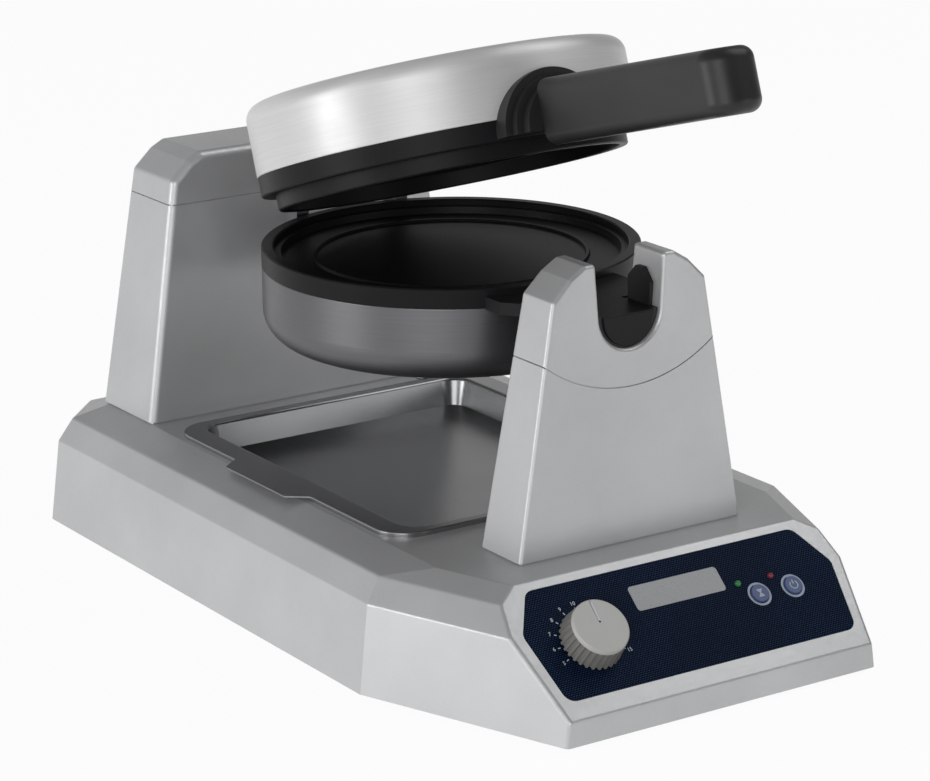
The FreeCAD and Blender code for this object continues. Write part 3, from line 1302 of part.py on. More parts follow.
def power_parts():
    """The mains board on its posts, with relay, transformer and terminal block on top."""
    width, length, sheet = POWER_BOARD
    board_z = PLATE_TOP + POWER_BOARD_LIFT
    board = centred(POWER_BOARD, 0, POWER_BOARD_Y, board_z)
    posts = []
    for x in (-width / 2 + 6, width / 2 - 6):
        for y in (POWER_BOARD_Y - length / 2 + 6, POWER_BOARD_Y + length / 2 - 6):
            posts.append(rod(x, y, PLATE_TOP, ALONG_Z, 3.5, POWER_BOARD_LIFT))
    top = board_z + sheet
    relay = centred(RELAY, -width / 4 - 8, POWER_BOARD_Y - 8, top)
    transformer = centred(TRANSFORMER, width / 4 - 4, POWER_BOARD_Y - 8, top)
    terminals = centred(TERMINALS, 0, POWER_BOARD_Y + length / 2 - 8, top)
    notches = []
    for step in range(6):
        x = -TERMINALS[0] / 2 + (step + 0.5) * TERMINALS[0] / 6
        notches.append(rod(x, POWER_BOARD_Y + length / 2 - 8, top + TERMINALS[2] - 6, ALONG_Z, 2.4, 6))
    return {
        "power_board": join([board] + posts),
        "power_relay": soften(relay, 1.0, lambda edge: is_along(edge, ALONG_Z)),
        "transformer": soften(transformer, 2.0, lambda edge: is_along(edge, ALONG_Z)),
        "terminal_block": terminals.cut(Part.Compound(notches)),
    }


def gland_parts():
    """The cord's inlet: a hexagon and dome outside, a nut inside, and an empty bore."""
    z = FOOT_DROP + GLAND_RISE
    face = gland_y()
    hexagon_part = hexagon(GLAND_X, face, z, GLAND_FLATS, GLAND_HEX, ALONG_Y)
    dome = Part.makeCone(GLAND_FLATS / 2, GLAND_BODY, GLAND_DOME, V(GLAND_X, face + GLAND_HEX, z), ALONG_Y)
    nut_y = face - 9 - GLAND_HEX - SEAT_CLEARANCE
    neck = rod(GLAND_X, nut_y - 1, z, ALONG_Y, GLAND_BODY, face - nut_y + 1)
    bore = rod(GLAND_X, nut_y - 1, z, ALONG_Y, GLAND_BORE, 60)
    nut = hexagon(GLAND_X, nut_y, z, GLAND_FLATS, GLAND_HEX, ALONG_Y)
    nut = nut.cut(rod(GLAND_X, nut_y, z, ALONG_Y, GLAND_BODY + THREAD_CLEARANCE, GLAND_HEX))
    return {"cord_gland": join([hexagon_part, dome, neck]).cut(bore), "gland_nut": nut}


def base_pieces():
    front_places, rear_places = pillar_bolt_places()
    rear_body, rear_cap = rear_halves()
    low = FOOT_DROP + PLATE_RECESS
    length = PLATE_SHEET + PLATE_SCREW_GRIP
    plate_screws = [screw(x, y, low, ALONG_Z, M4, length) for x, y, _ in post_places()]
    pieces = {
        "base_housing": base_housing(),
        "bottom_plate": bottom_plate(),
        "bottom_plate_screws": Part.Compound(plate_screws),
        "front_pillar": front_pillar(),
        "front_pillar_cap": front_pillar_cap(),
        "front_pillar_bolts": deck_bolts(front_places),
        "front_cap_screws": front_cap_screws(),
        "rear_pillar": rear_body,
        "rear_pillar_cap": rear_cap,
        "rear_pillar_bolts": deck_bolts(rear_places),
        "rear_cap_screws": rear_cap_screws(),
        "notch_liner": notch_liner(),
        "drip_tray": drip_tray(),
    }
    for name, (x, y) in foot_places().items():
        pieces[name] = foot(x, y)
    return pieces | power_parts() | gland_parts()


def panel_pieces():
    return {
        "control_panel": control_panel(),
        "control_board": control_board(),
        "board_screws": board_screws(),
        "start_switch": tact_switch(START_X),
        "standby_switch": tact_switch(STANDBY_X),
        "start_button": push_button(START_X),
        "standby_button": push_button(STANDBY_X),
        "ready_led": led(READY_LED_X),
        "power_led": led(POWER_LED_X),
        "timer_potentiometer": timer_potentiometer(),
        "potentiometer_nut": potentiometer_nut(),
        "timer_shaft": timer_shaft(),
        "timer_knob": timer_knob(),
    }


def head_pieces():
    back = PARTING - PLATE_BODY
    floor = SHELL_FLOOR + SHEET
    return {
        "lower_shell": lower_shell(),
        "lower_shell_screws": lower_shell_screws(),
        "lower_plate": lower_plate(),
        "lower_heater": heater_ring(back, -1),
        "lower_thermostat": thermostat(back, -1),
        "lower_insulation": wool(floor, floor + WOOL_HEIGHT, post_spots()),
        "front_rest": front_rest(),
        "front_rest_screws": front_rest_screws(),
        "support_tube": support_tube(),
        "support_tube_nuts": support_tube_nuts(),
        "hinge_bracket": hinge_bracket(),
        "hinge_bracket_screws": hinge_bracket_screws(),
        "hinge_pins": hinge_pins(),
        "hinge_clips": hinge_clips(),
    }


def lid_pieces():
    ceiling = LID_TOP - LID_SHEET
    shut = {
        "upper_shell": upper_shell(),
        "upper_plate": upper_plate(),
        "upper_heater": heater_ring(LID_BACKING, 1),
        "upper_thermostat": thermostat(LID_BACKING, 1),
        "upper_insulation": wool(ceiling - LID_WOOL_HEIGHT, ceiling, []),
        "lid_collar": lid_collar(),
        "handle": handle(),
        "handle_bolts": handle_bolts(),
        "lid_hinge_bracket": lid_hinge_bracket(),
        "lid_hinge_screws": lid_hinge_screws(),
    }
    return {name: opened(shape) for name, shape in shut.items()}


def main():
    os.makedirs("parts", exist_ok=True)
    for name, shape in (base_pieces() | panel_pieces() | head_pieces() | lid_pieces()).items():
        shape.exportStep("parts/" + name + ".step")


main()
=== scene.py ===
import math

import bpy
from mathutils import Matrix, Vector


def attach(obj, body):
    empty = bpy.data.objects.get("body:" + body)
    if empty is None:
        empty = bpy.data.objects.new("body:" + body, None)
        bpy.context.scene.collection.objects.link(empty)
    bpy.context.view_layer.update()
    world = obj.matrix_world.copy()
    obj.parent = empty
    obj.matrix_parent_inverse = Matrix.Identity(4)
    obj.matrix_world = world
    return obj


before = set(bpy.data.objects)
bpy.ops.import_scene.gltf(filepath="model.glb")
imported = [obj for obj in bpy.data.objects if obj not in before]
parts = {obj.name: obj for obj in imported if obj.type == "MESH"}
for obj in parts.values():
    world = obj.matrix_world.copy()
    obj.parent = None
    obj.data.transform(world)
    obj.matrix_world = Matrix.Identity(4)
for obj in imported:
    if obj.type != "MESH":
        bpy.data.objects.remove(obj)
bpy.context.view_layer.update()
scene = bpy.context.scene
scene.view_settings.view_transform = "Standard"

# Sizes of the object are in millimetres; the studio and the camera are in metres
MM = 0.001
# The sloped panel: the edge it starts from, its rise and run, and the top of its film above that slope
LIP_EDGE = Vector((0.0, -221.4, 14.35))
PANEL_RISE, PANEL_RUN = 47.4, 52.4
SLOPE = math.atan2(PANEL_RISE, PANEL_RUN)
FILM_TOP = -0.3
# The lid's hinge, and how far the lid stands open at rest
HINGE = Vector((0.0, 97.5, 197.4))
LID_OPEN = math.radians(19.18)
# Places across the panel (X), up its slope (U) and above it (TOP), and the height of the knob's cap
KNOB_X, KNOB_U, KNOB_TOP, KNOB_CAP = -56.0, 36.0, 13.2, 2.2
BUTTON_U, START_X, STANDBY_X, BUTTON_TOP = 38.0, 41.0, 60.5, 0.9
PATCH_X, PATCH_U = 0.4, 50.4
# The dial's numbers, the turn from one to the next, and the angle of the middle one
DIAL_FIRST, DIAL_LAST, DIAL_MIDDLE = 5, 15, 10
DIAL_STEP, DIAL_TOP = math.radians(23.0), math.radians(88.0)
NUMBER_SIZE, NUMBER_RADIUS = 2.7, 19.4
TICK_RADIUS, TICK_LENGTH, TICK_WIDTH = 16.7, 1.3, 0.45
# The share of a tick's width that the round of its corner takes
TICK_ROUND_SHARE = 0.3
# Printed marks: the thickness of the ink, and the sizes of the patch, rings, signs and pointer
INK = 0.05
PATCH_SIZE, PATCH_CORNER = (50.0, 12.8), 1.8
RING_OUTER, RING_INNER = 6.1, 4.95
GLASS_HALF, GLASS_WAIST, GLASS_TOP, GLASS_SHOULDER = 1.5, 0.25, 2.0, 1.6
POWER_OUTER, POWER_INNER, POWER_GAP, POWER_STEPS = 2.3, 1.75, math.radians(38), 32
BAR_SIZE, BAR_CORNER, BAR_MIDDLE = (0.6, 2.2), 0.2, (0, 1.5)
POINTER_SIZE, POINTER_CORNER, POINTER_MIDDLE = (9.6, 0.8), 0.35, (7.4, 0)
DOT_RADIUS, DOT_MIDDLE = 0.5, (2.0, 0)
# Most of a noise texture's values lie in this span
NOISE_SPAN = {"From Min": 0.3, "From Max": 0.7}
# The Wave texture turns through this many radians in one unit at scale 1
WAVE_RADIANS = 20
# Sockets of the Mix node in colour mode
MIX_A, MIX_B, MIXED = 6, 7, 2


def linear(hex_text):
    """An sRGB hex colour as linear red, green, blue and alpha."""
    channels = [int(hex_text[place:place + 2], 16) / 255 for place in (1, 3, 5)]
    bent = [c / 12.92 if c <= 0.04045 else ((c + 0.055) / 1.055) ** 2.4 for c in channels]
    return (*bent, 1.0)


def node(tree, kind, links=None, **settings):
    """Adds one node with its settings, and fills its sockets with values or other nodes' outputs."""
    made = tree.nodes.new(kind)
    for name, value in settings.items():
        setattr(made, name, value)
    for socket, value in (links or {}).items():
        if isinstance(value, bpy.types.NodeSocket):
            tree.links.new(value, made.inputs[socket])
        else:
            made.inputs[socket].default_value = value
    return made


def start_material(name):
    """A new material, its node tree, and the piece's own coordinates in millimetres."""
    material = bpy.data.materials.new(name)
    material.use_nodes = True
    tree = material.node_tree
    tree.nodes.clear()
    place = node(tree, "ShaderNodeTexCoord")
    mm = node(tree, "ShaderNodeMapping", {"Vector": place.outputs["Object"], "Scale": (1000, 1000, 1000)})
    return material, tree, mm.outputs["Vector"]


def finish_material(tree, shader):
    node(tree, "ShaderNodeOutputMaterial", {"Surface": shader.outputs[0]})


def sprayed_enamel():
    """Silver enamel on die castings: half metal to the eye, satin, with fine flake and orange peel."""
    material, tree, mm = start_material("sprayed_silver_enamel")
    cloud = node(tree, "ShaderNodeTexNoise", {"Vector": mm, "Scale": 1 / 60, "Detail": 3.0})
    # Flake is near 0.1 mm and orange peel near 1 mm; both are drawn coarser so that they show
    flake = node(tree, "ShaderNodeTexNoise", {"Vector": mm, "Scale": 1 / 0.7, "Detail": 1.0})
    peel = node(tree, "ShaderNodeTexNoise", {"Vector": mm, "Scale": 1 / 2.2, "Detail": 1.0})
    drift = node(tree, "ShaderNodeMapRange", {"Value": cloud.outputs["Fac"], **NOISE_SPAN})
    coat = node(tree, "ShaderNodeMix", {
        0: drift.outputs["Result"], MIX_A: linear("#bdbebf"), MIX_B: linear("#c7c8c9"),
    }, data_type="RGBA")
    glint = node(tree, "ShaderNodeMapRange", {
        "Value": flake.outputs["Fac"], "From Min": 0.5, "From Max": 0.8, "To Max": 0.15,
    })
    fleck = node(tree, "ShaderNodeMix", {
        0: glint.outputs["Result"], MIX_A: coat.outputs[MIXED], MIX_B: linear("#d6d7d8"),
    }, data_type="RGBA")
    gloss = node(tree, "ShaderNodeMapRange", {
        "Value": peel.outputs["Fac"], **NOISE_SPAN, "To Min": 0.36, "To Max": 0.44,
    })
    bump = node(tree, "ShaderNodeBump", {
        "Height": peel.outputs["Fac"], "Strength": 0.05, "Distance": 0.3 * MM,
    })
    shader = node(tree, "ShaderNodeBsdfPrincipled", {
        "Base Color": fleck.outputs[MIXED], "Metallic": 0.5, "Roughness": gloss.outputs["Result"],
        "Normal": bump.outputs["Normal"],
    })
    finish_material(tree, shader)
    return material


def brushed_band(name, turn, low, high, rough, metal, stretch, depth):
    """Stainless sheet brushed round its axis: fine level lines that stretch the highlights upwards."""
    material, tree, mm = start_material(name)
    # Grit lines are near 0.1 mm; drawn at 0.8 mm so that they show in the render
    level = node(tree, "ShaderNodeMapping", {"Vector": mm, "Rotation": (turn, 0, 0)})
    lines = node(tree, "ShaderNodeMapping", {"Vector": level.outputs["Vector"], "Scale": (0.02, 0.02, 1.0)})
    grit = node(tree, "ShaderNodeTexNoise", {
        "Vector": lines.outputs["Vector"], "Scale": 1 / 0.8, "Detail": 3.0, "Roughness": 0.65,
    })
    cloud = node(tree, "ShaderNodeTexNoise", {"Vector": mm, "Scale": 1 / 35, "Detail": 2.0})
    streak = node(tree, "ShaderNodeMapRange", {
        "Value": grit.outputs["Fac"], "From Min": 0.25, "From Max": 0.75,
    })
    tone = node(tree, "ShaderNodeMix", {
        0: streak.outputs["Result"], MIX_A: linear(low), MIX_B: linear(high),
    }, data_type="RGBA")
    gloss = node(tree, "ShaderNodeMapRange", {
        "Value": cloud.outputs["Fac"], **NOISE_SPAN,
        "To Min": rough - 0.04, "To Max": rough + 0.05,
    })
    bump = node(tree, "ShaderNodeBump", {
        "Height": grit.outputs["Fac"], "Strength": depth, "Distance": 0.05 * MM,
    })
    shader = node(tree, "ShaderNodeBsdfPrincipled", {
        "Base Color": tone.outputs[MIXED], "Metallic": metal, "Roughness": gloss.outputs["Result"],
        "Anisotropic": stretch, "Anisotropic Rotation": 0.25, "Normal": bump.outputs["Normal"],
    })
    finish_material(tree, shader)
    return material


def pressed_tray():
    """Pressed stainless tray: satin, a little wavy from the press, with short wiping scratches."""
    material, tree, mm = start_material("pressed_stainless_tray")
    wave = node(tree, "ShaderNodeTexNoise", {"Vector": mm, "Scale": 1 / 45, "Detail": 1.5})
    # Wiping scratches are near 0.1 mm wide; drawn at 0.9 mm so that they show
    along = node(tree, "ShaderNodeMapping", {"Vector": mm, "Scale": (1.0, 0.03, 1.0)})
    wipe = node(tree, "ShaderNodeTexNoise", {
        "Vector": along.outputs["Vector"], "Scale": 1 / 0.9, "Detail": 3.0,
    })
    streak = node(tree, "ShaderNodeMapRange", {"Value": wipe.outputs["Fac"], **NOISE_SPAN})
    tone = node(tree, "ShaderNodeMix", {
        0: streak.outputs["Result"], MIX_A: linear("#8c8d8e"), MIX_B: linear("#959697"),
    }, data_type="RGBA")
    gloss = node(tree, "ShaderNodeMapRange", {
        "Value": wipe.outputs["Fac"], **NOISE_SPAN, "To Min": 0.22, "To Max": 0.27,
    })
    coarse = node(tree, "ShaderNodeBump", {
        "Height": wave.outputs["Fac"], "Strength": 0.2, "Distance": 1.2 * MM,
    })
    fine = node(tree, "ShaderNodeBump", {
        "Height": wipe.outputs["Fac"], "Strength": 0.02, "Distance": 0.05 * MM,
        "Normal": coarse.outputs["Normal"],
    })
    shader = node(tree, "ShaderNodeBsdfPrincipled", {
        "Base Color": tone.outputs[MIXED], "Metallic": 0.9, "Roughness": gloss.outputs["Result"],
        "Normal": fine.outputs["Normal"],
    })
    finish_material(tree, shader)
    return material


def nonstick_coat(name, centre, turn):
    """Cast aluminium under a black non-stick coat: satin, with faint turning rings and a fine speckle."""
    material, tree, mm = start_material(name)
    centred = node(tree, "ShaderNodeVectorMath", {0: mm, 1: centre}, operation="SUBTRACT")
    level = node(tree, "ShaderNodeMapping", {"Vector": centred.outputs["Vector"], "Rotation": (turn, 0, 0)})
    # Tool marks are near 0.3 mm apart; drawn at 1.2 mm so that they show
    ring_scale = 2 * math.pi / WAVE_RADIANS / 1.2
    rings = node(tree, "ShaderNodeTexWave", {
        "Vector": level.outputs["Vector"], "Scale": ring_scale, "Distortion": 0.2, "Detail": 1.0,
    }, wave_type="RINGS", rings_direction="Z")
    speck = node(tree, "ShaderNodeTexNoise", {"Vector": mm, "Scale": 1 / 0.6, "Detail": 1.0})
    tone = node(tree, "ShaderNodeMix", {
        0: speck.outputs["Fac"], MIX_A: linear("#121214"), MIX_B: linear("#1d1d1f"),
    }, data_type="RGBA")
    gloss = node(tree, "ShaderNodeMapRange", {
        "Value": speck.outputs["Fac"], **NOISE_SPAN, "To Min": 0.36, "To Max": 0.46,
    })
    marks = node(tree, "ShaderNodeBump", {
        "Height": rings.outputs["Fac"], "Strength": 0.08, "Distance": 0.05 * MM,
    })
    grain = node(tree, "ShaderNodeBump", {
        "Height": speck.outputs["Fac"], "Strength": 0.1, "Distance": 0.05 * MM,
        "Normal": marks.outputs["Normal"],
    })
    shader = node(tree, "ShaderNodeBsdfPrincipled", {
        "Base Color": tone.outputs[MIXED], "Roughness": gloss.outputs["Result"], "Specular IOR Level": 0.12,
        "Normal": grain.outputs["Normal"],
    })
    finish_material(tree, shader)
    return material


def moulded(name, low, high, rough, grain_mm, strength, shine=0.5):
    """Moulded plastic, rubber or board laminate: an even colour with a fine matt grain."""
    material, tree, mm = start_material(name)
    grain = node(tree, "ShaderNodeTexNoise", {"Vector": mm, "Scale": 1 / grain_mm, "Detail": 2.0})
    cloud = node(tree, "ShaderNodeTexNoise", {"Vector": mm, "Scale": 1 / 30, "Detail": 2.0})
    drift = node(tree, "ShaderNodeMapRange", {"Value": cloud.outputs["Fac"], **NOISE_SPAN})
    tone = node(tree, "ShaderNodeMix", {
        0: drift.outputs["Result"], MIX_A: linear(low), MIX_B: linear(high),
    }, data_type="RGBA")
    gloss = node(tree, "ShaderNodeMapRange", {
        "Value": grain.outputs["Fac"], **NOISE_SPAN,
        "To Min": rough - 0.05, "To Max": rough + 0.05,
    })
    bump = node(tree, "ShaderNodeBump", {
        "Height": grain.outputs["Fac"], "Strength": strength, "Distance": 0.1 * MM,
    })
    shader = node(tree, "ShaderNodeBsdfPrincipled", {
        "Base Color": tone.outputs[MIXED], "Roughness": gloss.outputs["Result"], "Specular IOR Level": shine,
        "Normal": bump.outputs["Normal"],
    })
    finish_material(tree, shader)
    return material


def plain_metal(name, low, high, rough, grain_mm):
    """Plain or coated steel: metal with a faint mottle that breaks up its shine."""
    material, tree, mm = start_material(name)
    mottle = node(tree, "ShaderNodeTexNoise", {"Vector": mm, "Scale": 1 / grain_mm, "Detail": 3.0})
    tone = node(tree, "ShaderNodeMix", {
        0: mottle.outputs["Fac"], MIX_A: linear(low), MIX_B: linear(high),
    }, data_type="RGBA")
    gloss = node(tree, "ShaderNodeMapRange", {
        "Value": mottle.outputs["Fac"], **NOISE_SPAN,
        "To Min": rough - 0.06, "To Max": rough + 0.06,
    })
    shader = node(tree, "ShaderNodeBsdfPrincipled", {
        "Base Color": tone.outputs[MIXED], "Metallic": 1.0, "Roughness": gloss.outputs["Result"],
    })
    finish_material(tree, shader)
    return material


def panel_film():
    """Printed polyester film: navy ink under a matt face, in a small woven pattern of blue dots."""
    material, tree, mm = start_material("printed_navy_film")
    flat = node(tree, "ShaderNodeMapping", {"Vector": mm, "Rotation": (-SLOPE, 0, 0)})
    # The weave is 1.5 mm from dot to dot, as measured on the panel
    cells = node(tree, "ShaderNodeTexBrick", {
        "Vector": flat.outputs["Vector"], "Scale": 1.0, "Mortar Size": 0.34, "Mortar Smooth": 0.4,
        "Brick Width": 1.5, "Row Height": 1.0, "Color1": linear("#243f69"), "Color2": linear("#1c3357"),
        "Mortar": linear("#04070c"),
    }, offset=0.5)
    cloud = node(tree, "ShaderNodeTexNoise", {"Vector": mm, "Scale": 1 / 60, "Detail": 1.0})
    fade = node(tree, "ShaderNodeMapRange", {
        "Value": cloud.outputs["Fac"], **NOISE_SPAN, "To Max": 0.35,
    })
    ink = node(tree, "ShaderNodeMix", {
        0: fade.outputs["Result"], MIX_A: cells.outputs["Color"], MIX_B: linear("#0a1220"),
    }, data_type="RGBA")
    shader = node(tree, "ShaderNodeBsdfPrincipled", {
        "Base Color": ink.outputs[MIXED], "Roughness": 0.55, "Specular IOR Level": 0.05,
    })
    finish_material(tree, shader)
    return material


def knob_plastic():
    """Grey knob plastic with a fine grain: the cap is pale grey, and the fluted skirt below it is the same
    plastic painted a darker grey as painted shade.
    """
    material, tree, mm = start_material("knob_grey_plastic_skirt_painted_shade")
    off_edge = node(tree, "ShaderNodeVectorMath", {0: mm, 1: LIP_EDGE}, operation="SUBTRACT")
    height = node(tree, "ShaderNodeVectorMath", {
        0: off_edge.outputs["Vector"], 1: (0, -math.sin(SLOPE), math.cos(SLOPE)),
    }, operation="DOT_PRODUCT")
    # Below the cap's edge the skirt gets a darker grey: painted shade, since cap and skirt are one plastic
    seam = KNOB_TOP - KNOB_CAP
    cap_not_shaded_skirt = node(tree, "ShaderNodeMapRange", {
        "Value": height.outputs["Value"], "From Min": seam - 0.1, "From Max": seam + 0.1,
    })
    grain = node(tree, "ShaderNodeTexNoise", {"Vector": mm, "Scale": 1 / 0.5, "Detail": 2.0})
    tone = node(tree, "ShaderNodeMix", {
        0: cap_not_shaded_skirt.outputs["Result"], MIX_A: linear("#7d7c79"), MIX_B: linear("#bebebb"),
    }, data_type="RGBA")
    gloss = node(tree, "ShaderNodeMapRange", {
        "Value": grain.outputs["Fac"], **NOISE_SPAN, "To Min": 0.42, "To Max": 0.52,
    })
    bump = node(tree, "ShaderNodeBump", {
        "Height": grain.outputs["Fac"], "Strength": 0.08, "Distance": 0.1 * MM,
    })
    shader = node(tree, "ShaderNodeBsdfPrincipled", {
        "Base Color": tone.outputs[MIXED], "Roughness": gloss.outputs["Result"], "IOR": 1.5,
        "Normal": bump.outputs["Normal"],
    })
    finish_material(tree, shader)
    return material


def lamp_lens(name, colour, glow):
    """A small hazy lamp lens, softly lit from inside."""
    material, tree, mm = start_material(name)
    haze = node(tree, "ShaderNodeTexNoise", {"Vector": mm, "Scale": 1.0, "Detail": 1.0})
    gloss = node(tree, "ShaderNodeMapRange", {
        "Value": haze.outputs["Fac"], **NOISE_SPAN, "To Min": 0.15, "To Max": 0.25,
    })
    shader = node(tree, "ShaderNodeBsdfPrincipled", {
        "Base Color": linear(colour), "Roughness": gloss.outputs["Result"], "IOR": 1.5,
        "Emission Color": linear(colour), "Emission Strength": glow,
    })
    finish_material(tree, shader)
    return material


def wool_felt():
    """Needled mineral wool: pale, fibrous and quite matt."""
    material, tree, mm = start_material("needled_mineral_wool")
    fibre = node(tree, "ShaderNodeTexNoise", {
        "Vector": mm, "Scale": 1 / 1.5, "Detail": 5.0, "Distortion": 1.5,
    })
    tone = node(tree, "ShaderNodeMix", {
        0: fibre.outputs["Fac"], MIX_A: linear("#b9b3a2"), MIX_B: linear("#e2decf"),
    }, data_type="RGBA")
    bump = node(tree, "ShaderNodeBump", {"Height": fibre.outputs["Fac"], "Strength": 0.6, "Distance": MM})
    shader = node(tree, "ShaderNodeBsdfPrincipled", {
        "Base Color": tone.outputs[MIXED], "Roughness": 0.95, "Normal": bump.outputs["Normal"],
    })
    finish_material(tree, shader)
    return material


def screen_ink(name, low, high, metallic, rough):
    """Screen-printed ink: an even coat whose mesh leaves a faint mottle."""
    material, tree, mm = start_material(name)
    mottle = node(tree, "ShaderNodeTexNoise", {"Vector": mm, "Scale": 1 / 0.5, "Detail": 1.0})
    tone = node(tree, "ShaderNodeMix", {
        0: mottle.outputs["Fac"], MIX_A: linear(low), MIX_B: linear(high),
    }, data_type="RGBA")
    shader = node(tree, "ShaderNodeBsdfPrincipled", {
        "Base Color": tone.outputs[MIXED], "Metallic": metallic, "Roughness": rough,
    })
    finish_material(tree, shader)
    return material


def dress(material, *names):
    for name in names:
        data = parts[name].data
        data.materials.clear()
        data.materials.append(material)


def finish_cad_pieces():
    """Gives every solid the finish of its real material; the cup, the knob's skirt and the front rest also
    carry painted shade in their tones.
    """
    castings = ("base_housing", "front_pillar", "front_pillar_cap", "rear_pillar", "rear_pillar_cap")
    dress(sprayed_enamel(), *castings)
    dress(brushed_band(
        "brushed_stainless_lid", turn=LID_OPEN, low="#d4d4d5", high="#dededf",
        rough=0.45, metal=0.4, stretch=0.6, depth=0.04,
    ), "upper_shell")
    # The cup is the lid's brushed stainless in a much darker tone: painted shade and painted dark reflections
    # from under the lid
    dress(brushed_band(
        "brushed_stainless_cup_painted_shade", turn=0.0, low="#666668", high="#6c6c6e",
        rough=0.40, metal=1.0, stretch=0.5, depth=0.015,
    ), "lower_shell")
    dress(pressed_tray(), "drip_tray")
    dress(nonstick_coat("nonstick_lower_plate", centre=(0, 0, 0), turn=0.0), "lower_plate")
    dress(nonstick_coat("nonstick_upper_plate", centre=HINGE, turn=LID_OPEN), "upper_plate")
    dress(panel_film(), "control_panel")
    dress(knob_plastic(), "timer_knob")
    dress(lamp_lens("green_lamp_lens", colour="#2a6f3e", glow=0.2), "ready_led")
    dress(lamp_lens("red_lamp_lens", colour="#702a33", glow=0.1), "power_led")
    dress(wool_felt(), "lower_insulation", "upper_insulation")
    finish_mouldings()
    finish_plain_metals()


def finish_mouldings():
    """The handle and the rest, sleeves, buttons, feet, boards and component cases."""
    dress(moulded(
        "charcoal_phenolic", "#242425", "#2a2a2b", rough=0.40, grain_mm=0.5, strength=0.10, shine=0.35,
    ), "handle", "lid_collar")
    # The rest is the handle's phenolic dressed in a darker black: the extra darkness is painted shade inside
    # the notch
    dress(moulded(
        "phenolic_painted_notch_shade", "#18181a", "#1e1e20", rough=0.50, grain_mm=0.5, strength=0.10, shine=0.2,
    ), "front_rest")
    dress(moulded(
        "black_sleeve_nylon", "#0e0e0f", "#151516", rough=0.5, grain_mm=0.6, strength=0.1,
    ), "notch_liner")
    dress(moulded(
        "blue_button_plastic", "#40527c", "#4a5d89", rough=0.4, grain_mm=0.4, strength=0.05,
    ), "start_button", "standby_button")
    dress(moulded(
        "black_foot_rubber", "#111111", "#191919", rough=0.8, grain_mm=0.7, strength=0.2,
    ), "front_left_foot", "front_right_foot", "rear_left_foot", "rear_right_foot")
    dress(moulded(
        "green_board_laminate", "#14502d", "#1b6238", rough=0.35, grain_mm=1.5, strength=0.05,
    ), "control_board", "power_board")
    cases = (
        "start_switch", "standby_switch", "power_relay", "transformer", "terminal_block",
        "timer_potentiometer",
    )
    dress(moulded(
        "black_component_case", "#141415", "#1c1c1d", rough=0.45, grain_mm=0.6, strength=0.08,
    ), *cases)
    dress(moulded(
        "black_gland_nylon", "#0f0f10", "#171718", rough=0.5, grain_mm=0.6, strength=0.1,
    ), "cord_gland", "gland_nut")


def finish_plain_metals():
    """The sheet, brackets, screws, heating elements and sensors, most of them out of sight."""
    dress(plain_metal("zinc_coated_sheet", "#85878a", "#a3a5a8", rough=0.42, grain_mm=14), "bottom_plate")
    dress(
        plain_metal("plain_bracket_steel", "#6f7072", "#88898b", rough=0.36, grain_mm=5),
        "hinge_bracket", "lid_hinge_bracket", "support_tube", "support_tube_nuts", "hinge_pins",
        "hinge_clips", "timer_shaft", "potentiometer_nut",
    )
    dress(
        plain_metal("zinc_coated_screws", "#8e8f91", "#aaabac", rough=0.34, grain_mm=3),
        "bottom_plate_screws", "front_pillar_bolts", "front_cap_screws", "rear_pillar_bolts",
        "rear_cap_screws", "board_screws", "lower_shell_screws", "front_rest_screws",
        "hinge_bracket_screws", "handle_bolts", "lid_hinge_screws",
    )
    dress(
        plain_metal("sheathed_element_steel", "#4c4744", "#6a6460", rough=0.5, grain_mm=6),
        "lower_heater", "upper_heater",
    )
    dress(
        plain_metal("bright_sensor_can", "#a2a2a2", "#bcbcbc", rough=0.3, grain_mm=6),
        "lower_thermostat", "upper_thermostat",
    )


def on_panel(x, u, height):
    """The place on the sloped panel at x across, u up the slope and this high above it, all in mm."""
    return (
        Matrix.Scale(MM, 4) @ Matrix.Translation(LIP_EDGE)
        @ Matrix.Rotation(SLOPE, 4, "X") @ Matrix.Translation((x, u, height))
    )


def settle(name, data, material, body):
    """Puts a finished mesh in the scene as a piece that rides on a body."""
    data.materials.clear()
    data.materials.append(material)
    piece = bpy.data.objects.new(name, data)
    scene.collection.objects.link(piece)
    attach(piece, body)


def mesh_of(maker):
    """The plain mesh of a helper object, which is then removed."""
    scene.collection.objects.link(maker)
    graph = bpy.context.evaluated_depsgraph_get()
    data = bpy.data.meshes.new_from_object(maker.evaluated_get(graph))
    bpy.data.objects.remove(maker)
    return data


def circle(radius, count=48, middle=(0, 0)):
    turns = [2 * math.pi * step / count for step in range(count)]
    return [(middle[0] + radius * math.cos(t), middle[1] + radius * math.sin(t)) for t in turns]


def rounded_bar(width, height, corner, middle=(0, 0), count=8):
    """The outline of a rectangle with round corners."""
    points = []
    for turn, (sx, sy) in enumerate(((1, 1), (-1, 1), (-1, -1), (1, -1))):
        cx, cy = middle[0] + sx * (width / 2 - corner), middle[1] + sy * (height / 2 - corner)
        for step in range(count + 1):
            angle = (turn + step / count) * math.pi / 2
            points.append((cx + corner * math.cos(angle), cy + corner * math.sin(angle)))
    return points


def flat_mesh(outlines, thick):
    """A flat mark with a small thickness; an outline inside another is a hole."""
    curve = bpy.data.curves.new("mark_outline", "CURVE")
    curve.dimensions = "2D"
    curve.fill_mode = "BOTH"
    curve.extrude = thick / 2
    for outline in outlines:
        spline = curve.splines.new("POLY")
        spline.points.add(len(outline) - 1)
        for point, (x, y) in zip(spline.points, outline):
            point.co = (x, y, 0, 1)
        spline.use_cyclic_u = True
    return mesh_of(bpy.data.objects.new("mark_outline", curve))


